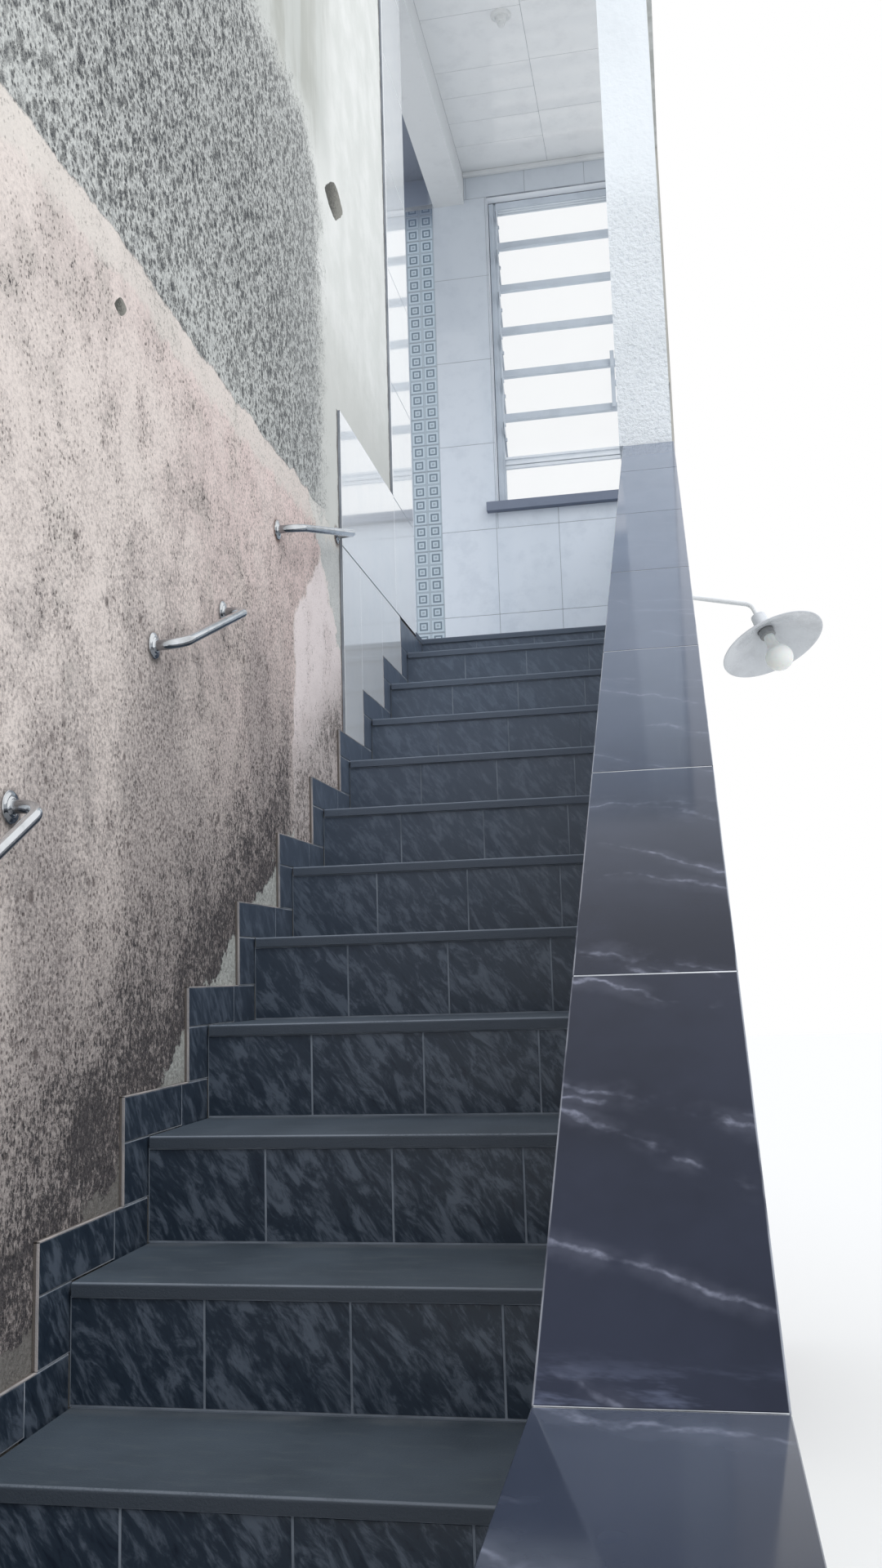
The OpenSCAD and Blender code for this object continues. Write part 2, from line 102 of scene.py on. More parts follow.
# Focal length and long side of the photograph in pixels, and the sensor in millimetres
FOCAL, LONG_SIDE, SENSOR = 1589.31, 1920, 36
forward = Vector((-math.sin(YAW) * math.cos(PITCH), math.cos(YAW) * math.cos(PITCH), math.sin(PITCH)))
level = Vector((math.cos(YAW), math.sin(YAW), 0))
upright = level.cross(forward)
right = math.cos(ROLL) * level + math.sin(ROLL) * upright
up = -math.sin(ROLL) * level + math.cos(ROLL) * upright
camera = bpy.data.objects.new("camera", bpy.data.cameras.new("camera"))
bpy.context.scene.collection.objects.link(camera)
camera.matrix_world = Matrix.Translation(at(*EYE)) @ Matrix((right, up, -forward)).transposed().to_4x4()
camera.data.sensor_width = SENSOR
camera.data.lens = FOCAL * SENSOR / LONG_SIDE
camera.data.clip_end = 200
bpy.context.scene.camera = camera
print("camera at", tuple(round(c, 3) for c in camera.location), "lens", round(camera.data.lens, 2))

# %% [markdown]
# ## Shader maths
# A finish is easier to read as a sum than as a web of boxes. `Wire` wraps one shader
# socket, and `maths` writes its operators, so `1 - mask * 0.5` adds the Math nodes for
# it. `Web` holds a node tree, and its one method `add` makes any other node from its
# type, settings and inputs. `Finish` is the web of one material, with helpers for
# colours, noise and bumps.


# %% Wrap sockets
def maths(operation, swapped=False):
    """A method that joins two sockets or numbers in a Math node."""

    def method(self, other=0.0):
        a, b = (other, self) if swapped else (self, other)
        return self.web.add("ShaderNodeMath", {"operation": operation}, {0: a, 1: b})

    return method


class Wire:
    """A shader socket that adds, multiplies and compares like a number."""

    def __init__(self, web, out):
        self.web, self.out = web, out

    __add__ = __radd__ = maths("ADD")
    __sub__, __rsub__ = maths("SUBTRACT"), maths("SUBTRACT", swapped=True)
    __mul__ = __rmul__ = maths("MULTIPLY")
    __truediv__, __pow__, __mod__ = maths("DIVIDE"), maths("POWER"), maths("FLOORED_MODULO")
    __gt__, __lt__, __abs__ = maths("GREATER_THAN"), maths("LESS_THAN"), maths("ABSOLUTE")
    top, low = maths("MAXIMUM"), maths("MINIMUM")

    def step(self, start, end):
        """0 below start, 1 above end, and smooth between them."""
        return self.web.add(
            "ShaderNodeMapRange",
            {"interpolation_type": "SMOOTHSTEP"},
            {"Value": self, "From Min": start, "From Max": end},
        )

    def band(self, start, full, fading, end):
        """0 outside start and end, and 1 from full to fading."""
        return self.step(start, full) * (1 - self.step(fading, end))


def linear(srgb):
    """A colour as a screen shows it, 0 to 255, in the linear numbers a shader takes."""
    return tuple(((c / 255 + 0.055) / 1.055) ** 2.4 if c > 10 else c / 255 / 12.92 for c in srgb)


class Web:
    """A node tree, and the one method that adds a node to it."""

    def __init__(self, tree):
        self.tree = tree

    def add(self, kind, settings, inputs, output=0):
        node = self.tree.nodes.new(kind)
        for key, value in settings.items():
            setattr(node, key, value)
        for key, value in inputs.items():
            if isinstance(value, Wire):
                self.tree.links.new(value.out, node.inputs[key])
            else:
                node.inputs[key].default_value = value
        return Wire(self, node.outputs[output])


class Finish(Web):
    """A material: its shader, the stair's own coordinates and helpers for patterns."""

    def __init__(self, name):
        self.material = bpy.data.materials.new(name)
        self.material.use_nodes = True
        super().__init__(self.material.node_tree)
        self.shader = self.tree.nodes["Principled BSDF"]
        place = self.add("ShaderNodeTexCoord", {}, {}, "Object")
        self.place = self.add(
            "ShaderNodeVectorMath", {"operation": "SUBTRACT"}, {0: place, 1: (CORNER.x, CORNER.y, 0)}
        )
        self.x, self.y, self.z = (
            self.add("ShaderNodeSeparateXYZ", {}, {0: self.place}, axis) for axis in "XYZ"
        )

    def vector(self, x, y, z):
        return self.add("ShaderNodeCombineXYZ", {}, {0: x, 1: y, 2: z})

    def noise(self, place, scale, detail=2.0, roughness=0.5, distortion=0.0):
        return self.add(
            "ShaderNodeTexNoise",
            {},
            {
                "Vector": place, "Scale": scale, "Detail": detail, "Roughness": roughness,
                "Distortion": distortion,
            },
        )

    def mix(self, share, a, b):
        """A colour between a and b, each a wire or a screen's (red, green, blue)."""
        a, b = ((*linear(c), 1) if isinstance(c, tuple) else c for c in (a, b))
        return self.add("ShaderNodeMix", {"data_type": "RGBA"}, {0: share, 6: a, 7: b}, 2)

    def bump(self, height, distance, strength=1.0):
        return self.add("ShaderNodeBump", {}, {"Height": height, "Distance": distance, "Strength": strength})

    def mark(self):
        """A number kept on the mesh, different for each tile."""
        return self.add("ShaderNodeAttribute", {"attribute_name": "tile"}, {}, "Fac")

    def surface(self, **sockets):
        """Sets or links the shader's sockets, with _ for the spaces in their names."""
        for key, value in sockets.items():
            socket = self.shader.inputs[key.replace("_", " ")]
            if isinstance(value, Wire):
                self.tree.links.new(value.out, socket)
            else:
                socket.default_value = (*value, 1) if isinstance(value, tuple) else value
        return self.material


def paint(material, *nodes):
    """Gives carried-over solids a new material."""
    for node in nodes:
        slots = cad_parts[node].data.materials
        slots.clear()
        slots.append(material)


print("white plaster in linear numbers:", [round(c, 3) for c in linear((230, 236, 242))])

# %% [markdown]
# ## The side wall's coats
# The tall wall has a pink lime coat below and a rough, flung cement coat above it. Damp
# has drawn black mould up from the steps, old paint has peeled near the white tiles, and
# a smooth pale coat runs to the wall's end. Each stain could be a thin sheet of its own,
# but the real ones blend into one flat face, so here they are one material on both coats.
# Masks decide what shows where. They are made from places on the wall, in metres, from
# the height above the skirting and from noise that frays their edges.

# %% Patterns that the wall's layers share
# Height at the first riser of the slanted line that the skirting's corners lie on
SKIRT_LINE = 0.309


class WallFinish(Finish):
    """The side wall's material, which keeps the noises and masks of its layers."""

    def __init__(self, name):
        super().__init__(name)
        self.above = self.z - self.y * (RISE / GOING) - SKIRT_LINE
        self.cloud = self.noise(self.place, 1.9, 3.0)
        self.blotch = self.noise(self.place, 7.0, 4.0, 0.6)
        self.fray = self.noise(self.place, 16.0, 5.0, 0.7)
        self.spot = self.noise(self.place, 52.0, 3.0, 0.65)
        self.coarse = self.noise(self.place, 105.0, 4.0, 0.75)
        self.dust = self.noise(self.place, 190.0, 3.0, 0.8)
        self.run = self.noise(self.vector(self.x, self.y, self.z * 0.12), 9.0, 4.0, 0.65)
        self.grain = self.coarse * 0.6 + self.dust * 0.4
        self.jag = self.ruffle(dust=0.25, coarse=0.2)
        self.left_of = 1 - (self.y + self.fray * 0.08).step(2.86, 2.96)

    def ruffle(self, **shares):
        """A push to and fro: each named noise, about zero, times its share."""
        return sum((getattr(self, name) - 0.5) * share for name, share in shares.items())

    def patches(self, places, fray):
        """Soft patches, 0 to 1. Each place is its middle (y, z) and its half size (y, z)."""
        total = 0.0
        for y, z, wide, high in places:
            far = ((self.y - y) / wide) ** 2 + ((self.z - z) / high) ** 2
            total = (1.1 - (far + fray) * 0.8).top(total)
        return total.top(0.0).low(1.0)

    def specks(self, crowd, sizes):
        """Spots with uneven edges, where a random pick for each one, plus crowd, passes least."""
        total = 0.0
        place = self.vector(self.x, self.y, self.z * 0.75)
        for cells, least, small, large, uneven in sizes:
            near = self.add("ShaderNodeTexVoronoi", {}, {"Vector": place, "Scale": cells}, "Distance")
            pick = self.add("ShaderNodeSeparateColor", {}, {0: Wire(self, near.out.node.outputs["Color"])})
            spot = 1 - (near + self.jag * uneven).step(small, large)
            total = (spot * (pick + crowd).step(least, least + 0.35)).top(total)
        return total


# %% [markdown]
# ### Pink lime coat
# Lime paint that has worn for years: cream to the left, pinker towards the top right,
# gritty low down where hands and rain reach it, and smoked in clouds. A photograph laid
# over the wall would hold only this one wall, so each tone is a mix with its own mask.


# %% Pink lime coat
def lime_coat(f):
    rosy = f.y * 0.42 + f.z * 0.35 + f.cloud * 0.9 + f.ruffle(blotch=0.8)
    pink = f.mix(rosy.step(2.0, 2.8), (238, 227, 220), (238, 217, 212))
    pink = f.mix((f.blotch + f.ruffle(cloud=0.6)).step(0.54, 0.7) * 0.4, pink, (224, 219, 209))
    worn = 1 - (f.above + f.ruffle(cloud=0.5)).step(0.5, 1.7)
    grit = (f.grain + f.ruffle(fray=0.3)).step(0.42, 0.62)
    pink = f.mix(grit * (0.22 + 0.45 * worn), pink, (138, 128, 126))
    smoke = (f.run * 0.3 + f.blotch * 0.7 + f.ruffle(cloud=0.8, coarse=0.5)).step(0.40, 0.74)
    smoke = smoke * (1 - f.y.step(1.9, 2.6) * 0.85)
    return f.mix(smoke * (0.30 + 0.42 * worn), pink, (146, 139, 138))


# %% [markdown]
# ### Damp and mould
# A grey film climbs a metre above the skirting and runs down under the middle bar. Dirt
# sits in small pits, and black mould grows in grains, thick along the steps and gone half
# a metre above them. Noise alone gives clouds, so the pits are cells of a Voronoi
# pattern, each shown or hidden by a random pick.

# %% Damp and mould
GREY_RUNS = (
    (2.04, 2.06, 0.15, 0.32), (2.10, 1.88, 0.20, 0.24), (1.62, 1.80, 0.10, 0.30), (2.62, 2.30, 0.10, 0.22),
)
# Cells a metre, least pick, small and large radius as a share of a cell, unevenness
DIRT = (
    (12.0, 0.80, 0.05, 0.12, 0.48), (27.0, 0.68, 0.07, 0.18, 0.72), (60.0, 0.62, 0.12, 0.33, 1.32),
    (125.0, 0.62, 0.14, 0.38, 1.52),
)


def damp(f, pink):
    film = 1 - (f.above + f.ruffle(cloud=0.35, blotch=0.24, run=0.16)).step(-0.15, 0.86)
    runs = f.patches(GREY_RUNS, f.ruffle(run=1.2, fray=1.4))
    film = (film + runs * 0.75).low(1.0) * f.left_of
    grey = f.mix(f.grain.step(0.40, 0.60), (176, 167, 165), (100, 95, 95))
    pink = f.mix(film * 0.60, pink, grey)

    creep = f.above + f.ruffle(cloud=0.26, blotch=0.20) + (f.y - 2.0).step(0.0, 0.2) * 0.04
    trace = (1 - (f.above + f.ruffle(fray=0.2, blotch=0.1)).step(0.0, 0.17)) * (1 - f.left_of) * 0.7
    f.thick = ((1 - creep.step(-0.06, 0.46)) * f.left_of).top(trace)
    f.dirt = f.specks(f.ruffle(fray=0.8, blotch=0.9) + film * 0.22 + f.thick * 0.35, DIRT)
    pink = f.mix(f.dirt * 0.75, pink, (84, 74, 72))

    pepper = f.noise(f.vector(f.x, f.y, f.z * 0.6), 150.0, 4.0, 0.85)
    bloom = pepper * 1.6 + f.spot * 0.25 + f.ruffle(fray=0.35, blotch=0.50, cloud=0.25)
    f.mould = (bloom + f.thick * 0.30).step(1.10, 1.24)
    grains = (f.dust * 0.5 + pepper * 0.5).step(0.40, 0.58)
    pink = f.mix(f.thick * 0.35, pink, (122, 117, 117))
    return f.mix(f.mould * 0.9, pink, f.mix(grains, (98, 94, 96), (42, 42, 47)))


# %% [markdown]
# ### Mended and peeled places
# Smooth mortar fills the inner corners over the skirting. Near the white tiles a patch of
# newer pink paint ends in a ragged rim, and beside it the paint has peeled off the
# cement. Each border is a line on the wall pushed to and fro by noise, with a thin pale
# rim just before it.


# %% Mended and peeled places
def mended(f, pink):
    line = f.above + f.ruffle(fray=0.16, blotch=0.16) - (f.y - 2.0).step(0.0, 0.25) * 0.03
    f.filled = 1 - line.step(-0.106, -0.097)
    mortar = f.mix(f.blotch, (184, 188, 184), (212, 214, 209))
    mortar = f.mix(1 - (f.z + f.fray * 0.1).step(1.38, 1.62), mortar, (140, 137, 133))
    mortar = f.mix((f.coarse + f.thick * 0.1).step(0.5, 0.72) * 0.35, mortar, (92, 88, 84))
    pink = f.mix(f.filled, pink, mortar)

    side = f.y - 2.9 + f.ruffle(blotch=0.12) - (f.z - 2.3) * 0.06
    top = f.z - 2.58 - (f.y - 2.92) * 0.95 + f.ruffle(fray=0.14)
    f.patch = side.step(-0.006, 0.006) * (1 - top.step(-0.006, 0.006))
    fresh = f.mix(f.grain.step(0.45, 0.75) * 0.35, (248, 237, 235), (222, 210, 208))
    fresh = f.mix(f.blotch.step(0.45, 0.75) * 0.3, fresh, (206, 190, 186))
    low = 1 - (f.above + f.ruffle(fray=0.2)).step(0.0, 0.26)
    fresh = f.mix(low * 0.5, fresh, (150, 141, 134))
    fresh = f.mix(f.mould * 0.8, fresh, (84, 79, 76))

    peel_at = (f.y - 3.05) + (f.z - 2.955) / 1.18 + f.ruffle(fray=0.2, spot=0.06)
    f.peel = peel_at.step(-0.003, 0.003)
    bare = f.mix(f.blotch.step(0.3, 0.7), (206, 208, 206), (228, 229, 226))
    bare = f.mix(f.grain.step(0.45, 0.65) * 0.45, bare, (158, 160, 158))
    rim = (peel_at + 0.02).step(-0.012, 0.0) * (1 - f.peel) + side.step(-0.012, 0.0) * (1 - f.patch) * 0.6
    rim = (rim * (1 - top.step(0.0, 0.02))).low(1.0)
    lower = f.mix(rim * 0.6, f.mix(f.patch, pink, fresh), (240, 232, 226))
    return f.mix(f.peel, lower, bare)


# %% [markdown]
# ### Flung cement and the pale coat
# The upper coat was flung on with a trowel and never smoothed, so it is full of pits,
# dark with soot and with painted shade, crowded most in three soft places. Towards the
# wall's end it passes into a smooth pale coat with faint runs. Real pits would need a mesh
# of millions of faces, so they are dark cells with a bump.

# %% Flung cement and the pale coat
PIT_CROWD_PLACES = ((2.95, 3.5, 0.45, 0.75), (2.45, 3.6, 0.6, 0.5), (2.0, 3.4, 0.5, 0.3))
PITS = ((34.0, 0.32, 0.14, 0.42, 2.4), (62.0, 0.22, 0.16, 0.42, 2.4), (120.0, 0.30, 0.16, 0.44, 2.4))


def flung_cement(f):
    fade = (f.y + f.ruffle(blotch=0.5)).step(2.6, 3.2)
    pit_crowding = f.patches(PIT_CROWD_PLACES, f.ruffle(cloud=1.4))
    packed = pit_crowding * 0.30 + 0.06 + f.ruffle(cloud=0.5, blotch=0.8, fray=0.5) - fade * 0.1
    f.pits = f.specks(packed, PITS)
    fleck = f.noise(f.vector(f.x, f.y, f.z * 0.75), 105.0, 5.0, 0.85)
    shades = (fleck + packed * 0.12).step(0.44, 0.60)
    ground = f.mix(f.blotch, (202, 204, 201), (222, 224, 220))
    ground = f.mix(fade * 0.2, ground, (170, 173, 175))
    ground = f.mix(shades * (0.60 - 0.12 * fade), ground, (104, 107, 111))
    # The pits' dark colour is soot and painted shade in their hollows
    return f.mix(f.pits * (0.95 - 0.35 * fade) * (0.6 + shades * 0.4), ground, (48, 52, 58))


def pale_coat(f):
    pale = f.mix(f.blotch.step(0.35, 0.7), (226, 228, 224), (238, 239, 236))
    pale = f.mix(f.run.step(0.45, 0.75) * 0.2, pale, (204, 206, 202))
    low = 1 - (f.z + f.ruffle(fray=0.3)).step(3.34, 3.75)
    pale = f.mix(low * 0.7, pale, (206, 207, 202))
    dull = (1 - (f.y + f.ruffle(cloud=0.4)).step(3.1, 3.45)) * (f.z + f.ruffle(blotch=0.4)).step(3.95, 4.2)
    streaks = f.mix(f.run.step(0.4, 0.6), (194, 197, 192), (172, 174, 166))
    pale = f.mix(dull * 0.8, pale, streaks)
    return f.mix(f.grain.step(0.5, 0.75) * 0.2, pale, (186, 188, 184))


# %% [markdown]
# ### Chips, painted shadows and the joint at the tiles
# Two chips have broken out of the coats, with painted shade on one side of each. A ring of
# painted shadow and grime lies round each flange of the grab bars, rusty at the high one,
# and the plaster stops at the white tiles in a dark band of painted shadow. The rings take
# their places from the bars, so they stay under them.

# %% Chips, painted shadows and the joint at the tiles
# Middle (y, z), half size (y, z) and tilt of each chip
CHIPS = ((3.388, 4.012, 0.105, 0.062, 0.25), (1.872, 2.86, 0.026, 0.018, 0.3))
BARS = ("low", "middle", "high")
FLANGE_R = 24.5
LOW_TOP = 3330


def bar_ends(name):
    """The middles (y, z) of a grab bar's flanges, which reach past the tube's ends."""
    (_, ya, za), (_, yb, zb) = inner("grab_bar_" + name)
    return (ya + FLANGE_R, za + FLANGE_R), (yb - FLANGE_R, zb - FLANGE_R)


def marks(f, colour):
    for y, z, wide, high, tilt in CHIPS:
        across = (f.y - y) / wide
        up = (f.z - z - (f.y - y) * tilt) / high
        chip = 1 - (abs(across) ** 1.4 + abs(up) ** 1.4 + f.ruffle(fray=0.5)).step(0.92, 1.0)
        # Painted shade: each chip is dark on one side of its hollow and paler on the other
        hollow = (across * 0.5 + f.ruffle(coarse=2.0)).step(-0.3, 0.3)
        colour = f.mix(chip, colour, f.mix(hollow, (84, 84, 80), (142, 141, 134)))
    darkening = 0.0
    for y, z in (end for name in BARS for end in bar_ends(name)):
        # Painted shadow and grime: a dark ring round each flange, set a little low
        far = ((f.y - y * MM) ** 2 + (f.z - z * MM + 0.003) ** 2) ** 0.5
        darkening = (1 - (far + f.ruffle(fray=0.016)).step(0.022, 0.038)).top(darkening)
    colour = f.mix(darkening * 0.75, colour, f.mix(f.y > 2.6, (72, 69, 68), (98, 72, 60)))
    low_from = inner("left_wall_tiles")[0][1] * MM
    tall = f.z.step(LOW_TOP * MM, LOW_TOP * MM + 0.001)
    tiles_from = low_from + tall * (TALL_FROM * MM - low_from)
    # Painted shadow: a dark band where the plaster stops at the white tiles
    shut = (tiles_from - f.y + f.ruffle(fray=0.03)).step(0.006, 0.02)
    return f.mix((1 - shut) * 0.85, colour, (84, 80, 82))


# %% [markdown]
# ### The layers together
# The two coats meet in a wavy border, with a pale strip under it where the upper one was
# scraped off. The layers are joined from the bottom up, and one bump gives the flung
# cement its depth and sets the peeled places back.


# %% Put the side wall together
def side_wall_finish():
    f = WallFinish("weathered_side_wall")
    lower = mended(f, damp(f, lime_coat(f)))
    rough_end = (f.y - 3.23 + (f.z - 3.9).top(0.0) * 0.8).top(f.z - 4.10 - (2.6 - f.y).top(0.0) * 1.2)
    even = (rough_end + f.ruffle(fray=0.25, coarse=0.3)).step(-0.12, 0.03)
    upper = f.mix(even, flung_cement(f), pale_coat(f))
    wavy = f.z - 2.99 + f.ruffle(fray=0.035, blotch=0.05) + f.y.step(1.9, 2.3) * 0.03
    border = wavy.step(-0.004, 0.004)
    strip = (wavy + 0.075 + f.ruffle(fray=0.08)).step(-0.015, 0.015) * (1 - border)
    lower = f.mix(strip * 0.6, lower, (232, 227, 219))
    border = border.top(even * (f.z - 2.93 + f.ruffle(fray=0.2)).step(-0.01, 0.02))
    colour = marks(f, f.mix(border, lower, upper))
    rough = border * (1 - even) * (0.9 - f.pits + f.grain * 0.5) + even * border * 0.75
    coat = 0.8 - f.peel * 0.55 + f.patch * 0.15 - f.mould * 0.25 - f.filled * 0.2
    relief = rough + (1 - border) * (coat - f.dirt * 0.3 + f.grain * 0.3) + f.dust * 0.06
    return f.surface(Base_Color=colour, Roughness=0.93, Normal=f.bump(relief, 0.0045, 0.8))


paint(side_wall_finish(), "lower_plaster", "upper_render")
print("side wall painted")

# %% [markdown]
# ## Plain plaster and concrete
# The parapet, pillar, beam and roof are white masonry paint over a coarse coat, and the
# hidden undersides are bare concrete. A coarse bump and a little grime keep them from
# looking like plastic.


# %% Paint plaster and concrete
def plaster_finish(name, colour, darkening, coarse, depth):
    f = Finish(name)
    bumps = f.noise(f.place, coarse, 3.0, 0.6)
    dirt = f.noise(f.place, 2.3, 5.0, 0.6)
    streak = f.noise(f.vector(f.x, f.y, f.z * 0.12), 14.0, 3.0, 0.6)
    shade = f.mix(dirt.step(0.45, 0.75) * 0.6, colour, darkening)
    shade = f.mix(streak.step(0.55, 0.75) * 0.35, shade, darkening)
    return f.surface(Base_Color=shade, Roughness=0.85, Normal=f.bump(bumps, depth))


def white_coat_finish():
    """White paint: grainy low on the pillar, smoother above, old and duller on outer faces."""
    f = Finish("white_masonry_paint")
    grains, fine = f.noise(f.place, 62.0, 4.0, 0.7), f.noise(f.place, 30.0, 3.0, 0.6)
    dirt = f.noise(f.place, 2.3, 5.0, 0.6)
    streak = f.noise(f.vector(f.x, f.y, f.z * 0.12), 14.0, 3.0, 0.6)
    low = 1 - (f.z + (dirt - 0.5) * 0.5).step(4.5, 4.8)
    shade = f.mix(dirt.step(0.45, 0.75) * 0.6, (243, 248, 253), (222, 228, 233))
    # Painted shade: the hollows of the grainy coat low on the pillar are grey-blue
    shade = f.mix(low * (1 - grains.step(0.34, 0.48)) * 0.3, shade, (190, 198, 210))
    old = f.mix((dirt * 0.5 + streak * 0.5).step(0.42, 0.62), (205, 207, 205), (182, 184, 181))
    outer = f.x.step(OUTER * MM - 0.002, OUTER * MM - 0.001)
    shade = f.mix(outer.top(f.z.step(CEILING * MM + 0.004, CEILING * MM + 0.006)), shade, old)
    # Painted shade darkens the ceiling of the side passage
    passage_ceiling_shade = (f.x < inner("side_beam")[0][0] * MM) * (f.z < CEILING * MM + 0.002)
    shade = f.mix(passage_ceiling_shade * 0.9, shade, (112, 121, 138))
    relief = grains * (0.12 + 0.88 * low) + fine * 0.2
    return f.surface(Base_Color=shade, Roughness=0.85, Normal=f.bump(relief, 0.012))


def cement_finish():
    """Plain cement, with the sides of the window's opening painted white."""
    f = Finish("cement_wall")
    bumps, dirt = f.noise(f.place, 60.0, 3.0, 0.6), f.noise(f.place, 2.3, 5.0, 0.6)
    shade = f.mix(dirt.step(0.45, 0.75) * 0.6, (186, 184, 178), (150, 148, 143))
    (x0, y0, z0), (x1, _, z1) = inner("window_frame")
    hole = (f.x > (x0 - 0.6) * MM) * (f.x < (x1 + 0.6) * MM) * (f.y > (y0 - 100) * MM)
    hole = hole * (f.z > (z0 - 60) * MM) * (f.z < (z1 + 0.6) * MM)
    shade = f.mix(hole, shade, (236, 240, 245))
    return f.surface(Base_Color=shade, Roughness=0.85, Normal=f.bump(bumps, 0.002))


white_coat = white_coat_finish()
smooth_white = plaster_finish("smooth_white_plaster", (218, 221, 223), (200, 203, 206), 40.0, 0.001)
concrete = plaster_finish("bare_concrete", (158, 156, 151), (128, 126, 122), 50.0, 0.002)
paint(white_coat, "parapet_wall", "pillar", "roof_slab")
paint(smooth_white, "side_beam")
paint(cement_finish(), "left_wall", "far_wall_left", "far_wall_right", "far_wall_middle")
paint(concrete, "flight", "step_blocks", "landing_slab")
print("plain walls painted")

# %% [markdown]
# ## Making tiles
# A tile is a box with eased edges. One mesh holds a whole field of tiles, and each tile
# carries a random number on its vertices. The finishes use it to shift their pattern,
# so that the veins stop at every joint, as they do on a real wall. A thin bed of grout
# a little behind the faces fills the joints.

# %% Tile and grout helpers
random.seed(7)


def piece(name, bm, material, slot, *nodes):
    """Turns a bmesh into a finished piece that rides on the stair."""
    mesh = bpy.data.meshes.new(name)
    bmesh.ops.recalc_face_normals(bm, faces=bm.faces[:])
    bm.to_mesh(mesh)
    bm.free()
    mesh.materials.append(material)
    thing = bpy.data.objects.new(name, mesh)
    bpy.context.scene.collection.objects.link(thing)
    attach(thing, "root")
    if nodes:
        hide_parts(*nodes)
    print(name, len(mesh.polygons), "faces")
    return thing


def box(bm, low, high, ease=1.2, turn=None):
    """Adds a box between two corners in stair millimetres, with eased edges."""
    layer = bm.verts.layers.float.get("tile") or bm.verts.layers.float.new("tile")
    low, high = Vector(low), Vector(high)
    verts = bmesh.ops.create_cube(bm, size=1)["verts"]
    bmesh.ops.scale(bm, vec=(high - low) * MM, verts=verts)
    bmesh.ops.translate(bm, vec=at(*((low + high) / 2)), verts=verts)
    if turn:
        pivot, angle, axis = turn
        bmesh.ops.rotate(bm, cent=at(*pivot), matrix=Matrix.Rotation(angle, 3, axis), verts=verts)
    if ease:
        edges = list({e for v in verts for e in v.link_edges})
        bmesh.ops.bevel(
            bm, geom=edges, offset=ease * MM, offset_type="OFFSET", segments=1, profile=0.5,
            affect="EDGES", material=-1,
        )
    number = random.uniform(0.05, 1.0)
    for v in bm.verts:
        if v[layer] == 0:
            v[layer] = number


def smooth(thing, angle=30):
    """Shades a piece smooth, with its edges sharper than the angle kept."""
    thing.data.shade_smooth()
    bm = bmesh.new()
    bm.from_mesh(thing.data)
    for e in bm.edges:
        e.smooth = not (e.is_manifold and e.calc_face_angle() > math.radians(angle))
    bm.to_mesh(thing.data)
    bm.free()
    return thing


# %% [markdown]
# ## Dark tiles on the risers and the skirting
# Glazed tiles in dark slate blue, clouded with paler streaks that all run down to the
# right. The streaks are noise stretched along one direction. Adding x and y gives one
# coordinate along the face for the risers and for the skirting at once.


# %% Dark tile and grout finishes
def dark_tile_finish():
    f = Finish("dark_marbled_tile")
    tile = f.mark()
    along = f.x + f.y + tile * 7.3
    down = f.z + tile * 3.1
    a = along * 0.60 - down * 0.80
    b = along * 0.80 + down * 0.60
    wide = f.noise(f.vector(a * 12.0, b * 30.0, tile * 50.0), 1.0, 6.0, 0.7, 0.6)
    thin = f.noise(f.vector(a * 24.0, b * 80.0, tile * 31.0), 1.0, 3.0, 0.6, 0.9)
    streaks = (wide * 0.75 + thin * 0.35).step(0.51, 0.67)
    colour = f.mix(streaks, (40, 51, 64), (86, 96, 109))
    colour = f.mix((wide * 0.5 + thin * 0.5).step(0.3, 0.46), (22, 31, 45), colour)
    # Painted light: the tiles turn paler towards the top of the flight, and the skirting's tiles up there a
    # little more
    colour = f.mix(f.z.step(1.2, 2.6) * 0.5, colour, (112, 124, 142))
    colour = f.mix((1 - f.x.step(0.0, 0.004)) * f.z.step(1.2, 2.4) * 0.14, colour, (112, 124, 142))
    dust = f.noise(f.place, 5.0, 4.0, 0.6).step(0.5, 0.8)
    rough = 0.28 + 0.2 * dust + 0.08 * thin
    return f.surface(Base_Color=colour, Roughness=rough, IOR=1.38, Normal=f.bump(wide, 0.0006, 0.3))


def grout_finish(name, light, dirt, at_wall=None):
    """Mortar in joints. With at_wall, it also turns to that colour towards the side wall."""
    f = Finish(name)
    stain, grit = f.noise(f.place, 9.0, 4.0, 0.6), f.noise(f.place, 400.0, 2.0)
    colour = f.mix(stain.step(0.35, 0.7), light, dirt)
    if at_wall:
        outer = (f.x + 0.0052 + (stain - 0.5) * 0.003).step(-0.0006, 0.0006)
        colour = f.mix(outer, at_wall, colour)
    return f.surface(Base_Color=colour, Roughness=0.9, Normal=f.bump(grit, 0.0008))


dark_tile = dark_tile_finish()
dark_grout = grout_finish("dark_tile_grout", (132, 141, 152), (98, 107, 118))
skirting_grout = grout_finish("skirting_grout", (176, 183, 192), (128, 136, 146))
edge_mortar = grout_finish("skirting_edge_mortar", (178, 172, 170), (128, 130, 134), (104, 98, 94))

# %% Lay the riser tiles
GAP = 2.2
TILE_JOINTS = (0, 208, 426, 644, WIDTH)
rows, bed = bmesh.new(), bmesh.new()
for k in range(STEPS + 1):
    face, low, high = k * GOING, TOPS[k], TOPS[k + 1] - SLAB
    for x0, x1 in zip(TILE_JOINTS, TILE_JOINTS[1:]):
        box(rows, (x0 + GAP / 2, face, low + 2.4), (x1 - GAP / 2, face + TILE - 0.5, high - 2.6))
    box(bed, (0.2, face + 0.6, low), (WIDTH - 0.2, face + TILE, high - 0.1), 0)
    for z in (low, high - 2.4):
        box(bed, (0.2, face + 0.1, z), (WIDTH - 0.2, face + 0.9, z + 2.2), 0)
piece("riser_tile_rows", rows, dark_tile, "dark_tile", "riser_tiles")
piece("riser_grout", bed, dark_grout, "dark_tile")

